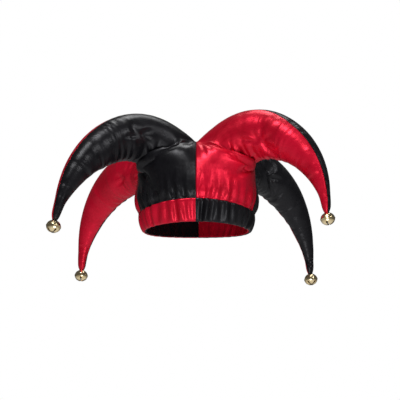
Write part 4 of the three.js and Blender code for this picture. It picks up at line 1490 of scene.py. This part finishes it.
def pellet_steel():
    metal = Finish("cropped steel")
    place = metal.node("ShaderNodeTexCoord").outputs["Object"]
    scuffs = metal.noise(place, 700.0, 4.0)
    metal.set("Base Color", metal.blend(scuffs, (0.5, 0.5, 0.52, 1), (0.25, 0.25, 0.27, 1)))
    metal.set("Roughness", metal.range(scuffs, 0.3, 0.7, 0.3, 0.55))
    metal.fixed(metallic=1.0)
    return metal.material


def sewing_thread():
    strand = Finish("sewing thread")
    place = strand.node("ShaderNodeTexCoord").outputs["Object"]
    fibre = strand.noise(strand.place((1.0, 1.0, 0.25), place), 5200.0, 3.0)
    strand.set("Base Color", strand.blend(fibre, (0.012, 0.011, 0.012, 1), (0.06, 0.055, 0.06, 1)))
    strand.set("Normal", strand.bump(fibre, 0.00006, 0.8))
    strand.fixed(roughness=0.7, sheen_weight=0.3)
    return strand.material


black = satin(
    "black satin", (0.0022, 0.002, 0.0028, 1), (0.0042, 0.0039, 0.005, 1), (0.009, 0.009, 0.011, 1),
    (0.95, 0.95, 1, 1), metallic=0.0, gloss=0.22,
)
red = satin(
    "red satin", (0.42, 0.002, 0.014, 1), (0.60, 0.004, 0.026, 1), (0.74, 0.010, 0.042, 1),
    (1, 0.4, 0.48, 1), metallic=0.4, gloss=0.5,
)
gold, steel, strand = gilt(), pellet_steel(), sewing_thread()


# Assembly
def wear(obj, nodes, slot):
    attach(obj, "root")
    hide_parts(*nodes)


hat = Hat()
PANEL_SATIN = {
    "front_left": (black, "satin_black"),
    "front_right": (red, "satin_red"),
    "back_left": (black, "satin_black"),
    "back_right": (red, "satin_red"),
}
for name, (colour, slot) in PANEL_SATIN.items():
    panel = hat.quarter(name, colour)
    wear(panel, [f"panel_{name}"], slot)
for word, colour, slot in (("left", red, "satin_red"), ("right", black, "satin_black")):
    inner_horns = hat.gusset(word, colour)
    wear(inner_horns, [f"gusset_{word}"], slot)

for word, side, outside, inside in (("left", -1, red, black), ("right", 1, black, red)):
    slots = {red.name: "satin_red", black.name: "satin_black"}
    band = band_half(word, side, outside)
    wear(band, [f"band_{word}"], slots[outside.name])
    facing = facing_half(word, side, inside)
    wear(facing, [f"facing_{word}"], slots[inside.name])

pattern = jingle_bell()
tree, socket_names = thread_tree(strand)
for name, horn in hat.horns.items():
    wear(placed_bell(pattern, horn, gold), [f"bell_{name}"], "bell_gold")
    wear(placed_pellet(horn, steel), [f"pellet_{name}"], "pellet_steel")
    wraps = thread_wraps(tree, socket_names, horn, strand)
    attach(wraps, "root")
bpy.data.objects.remove(pattern)


# Studio: white surroundings, a pale floor well below, and soft lights
FLOOR_HEIGHT = -1100.0
FLOOR_HALF = 6
FLOOR_CORNERS = ((-1, -1), (1, -1), (1, 1), (-1, 1))
ROOM_LIGHT = 0.1
FLOOR_GLOW = 0.2
LIGHT_AIM = (0, 0, 0.06)
# Place and size in metres, and power
LIGHTS = {
    "key": ((-0.35, -1.4, 1.8), 0.8, 38),
    "side": ((1.5, -1.3, 0.9), 0.6, 13),
    "low": ((0.1, -0.8, -0.4), 0.35, 2.8),
    "top": ((0.2, 0.6, 1.9), 0.9, 14),
}


def studio():
    """White behind the hat, and a dimmer room around it so that the satin keeps its depth."""
    world = bpy.data.worlds.new("studio")
    world.use_nodes = True
    nodes, links = world.node_tree.nodes, world.node_tree.links
    seen, strength = nodes.new("ShaderNodeLightPath"), nodes.new("ShaderNodeMapRange")
    strength.inputs["To Min"].default_value = ROOM_LIGHT
    strength.inputs["To Max"].default_value = 1.0
    links.new(seen.outputs["Is Camera Ray"], strength.inputs["Value"])
    links.new(strength.outputs[0], nodes["Background"].inputs["Strength"])
    nodes["Background"].inputs["Color"].default_value = (1, 1, 1, 1)
    bpy.context.scene.world = world
    bpy.context.scene.view_settings.view_transform = "Standard"
    corners = [(x * FLOOR_HALF, y * FLOOR_HALF, FLOOR_HEIGHT * MM) for x, y in FLOOR_CORNERS]
    floor = mesh_object("floor", np.array(corners), [(0, 1, 2, 3)], smooth_shading=False)
    pale = Finish("pale floor")
    place = pale.node("ShaderNodeTexCoord").outputs["Object"]
    pale.set("Base Color", pale.blend(pale.noise(place, 3.0), (0.86, 0.86, 0.87, 1), (0.9, 0.9, 0.9, 1)))
    pale.fixed(roughness=0.9, emission_color=(1, 1, 1, 1), emission_strength=FLOOR_GLOW)
    floor.data.materials.append(pale.material)


def soft_light(name, place, size, power):
    light = bpy.data.lights.new(name, "AREA")
    light.size, light.energy = size, power
    obj = placed(name, light)
    obj.location = place
    obj.rotation_euler = (Vector(LIGHT_AIM) - Vector(place)).to_track_quat("-Z", "Y").to_euler()


studio()
for light_name, (light_place, light_size, light_power) in LIGHTS.items():
    soft_light(light_name, light_place, light_size, light_power)
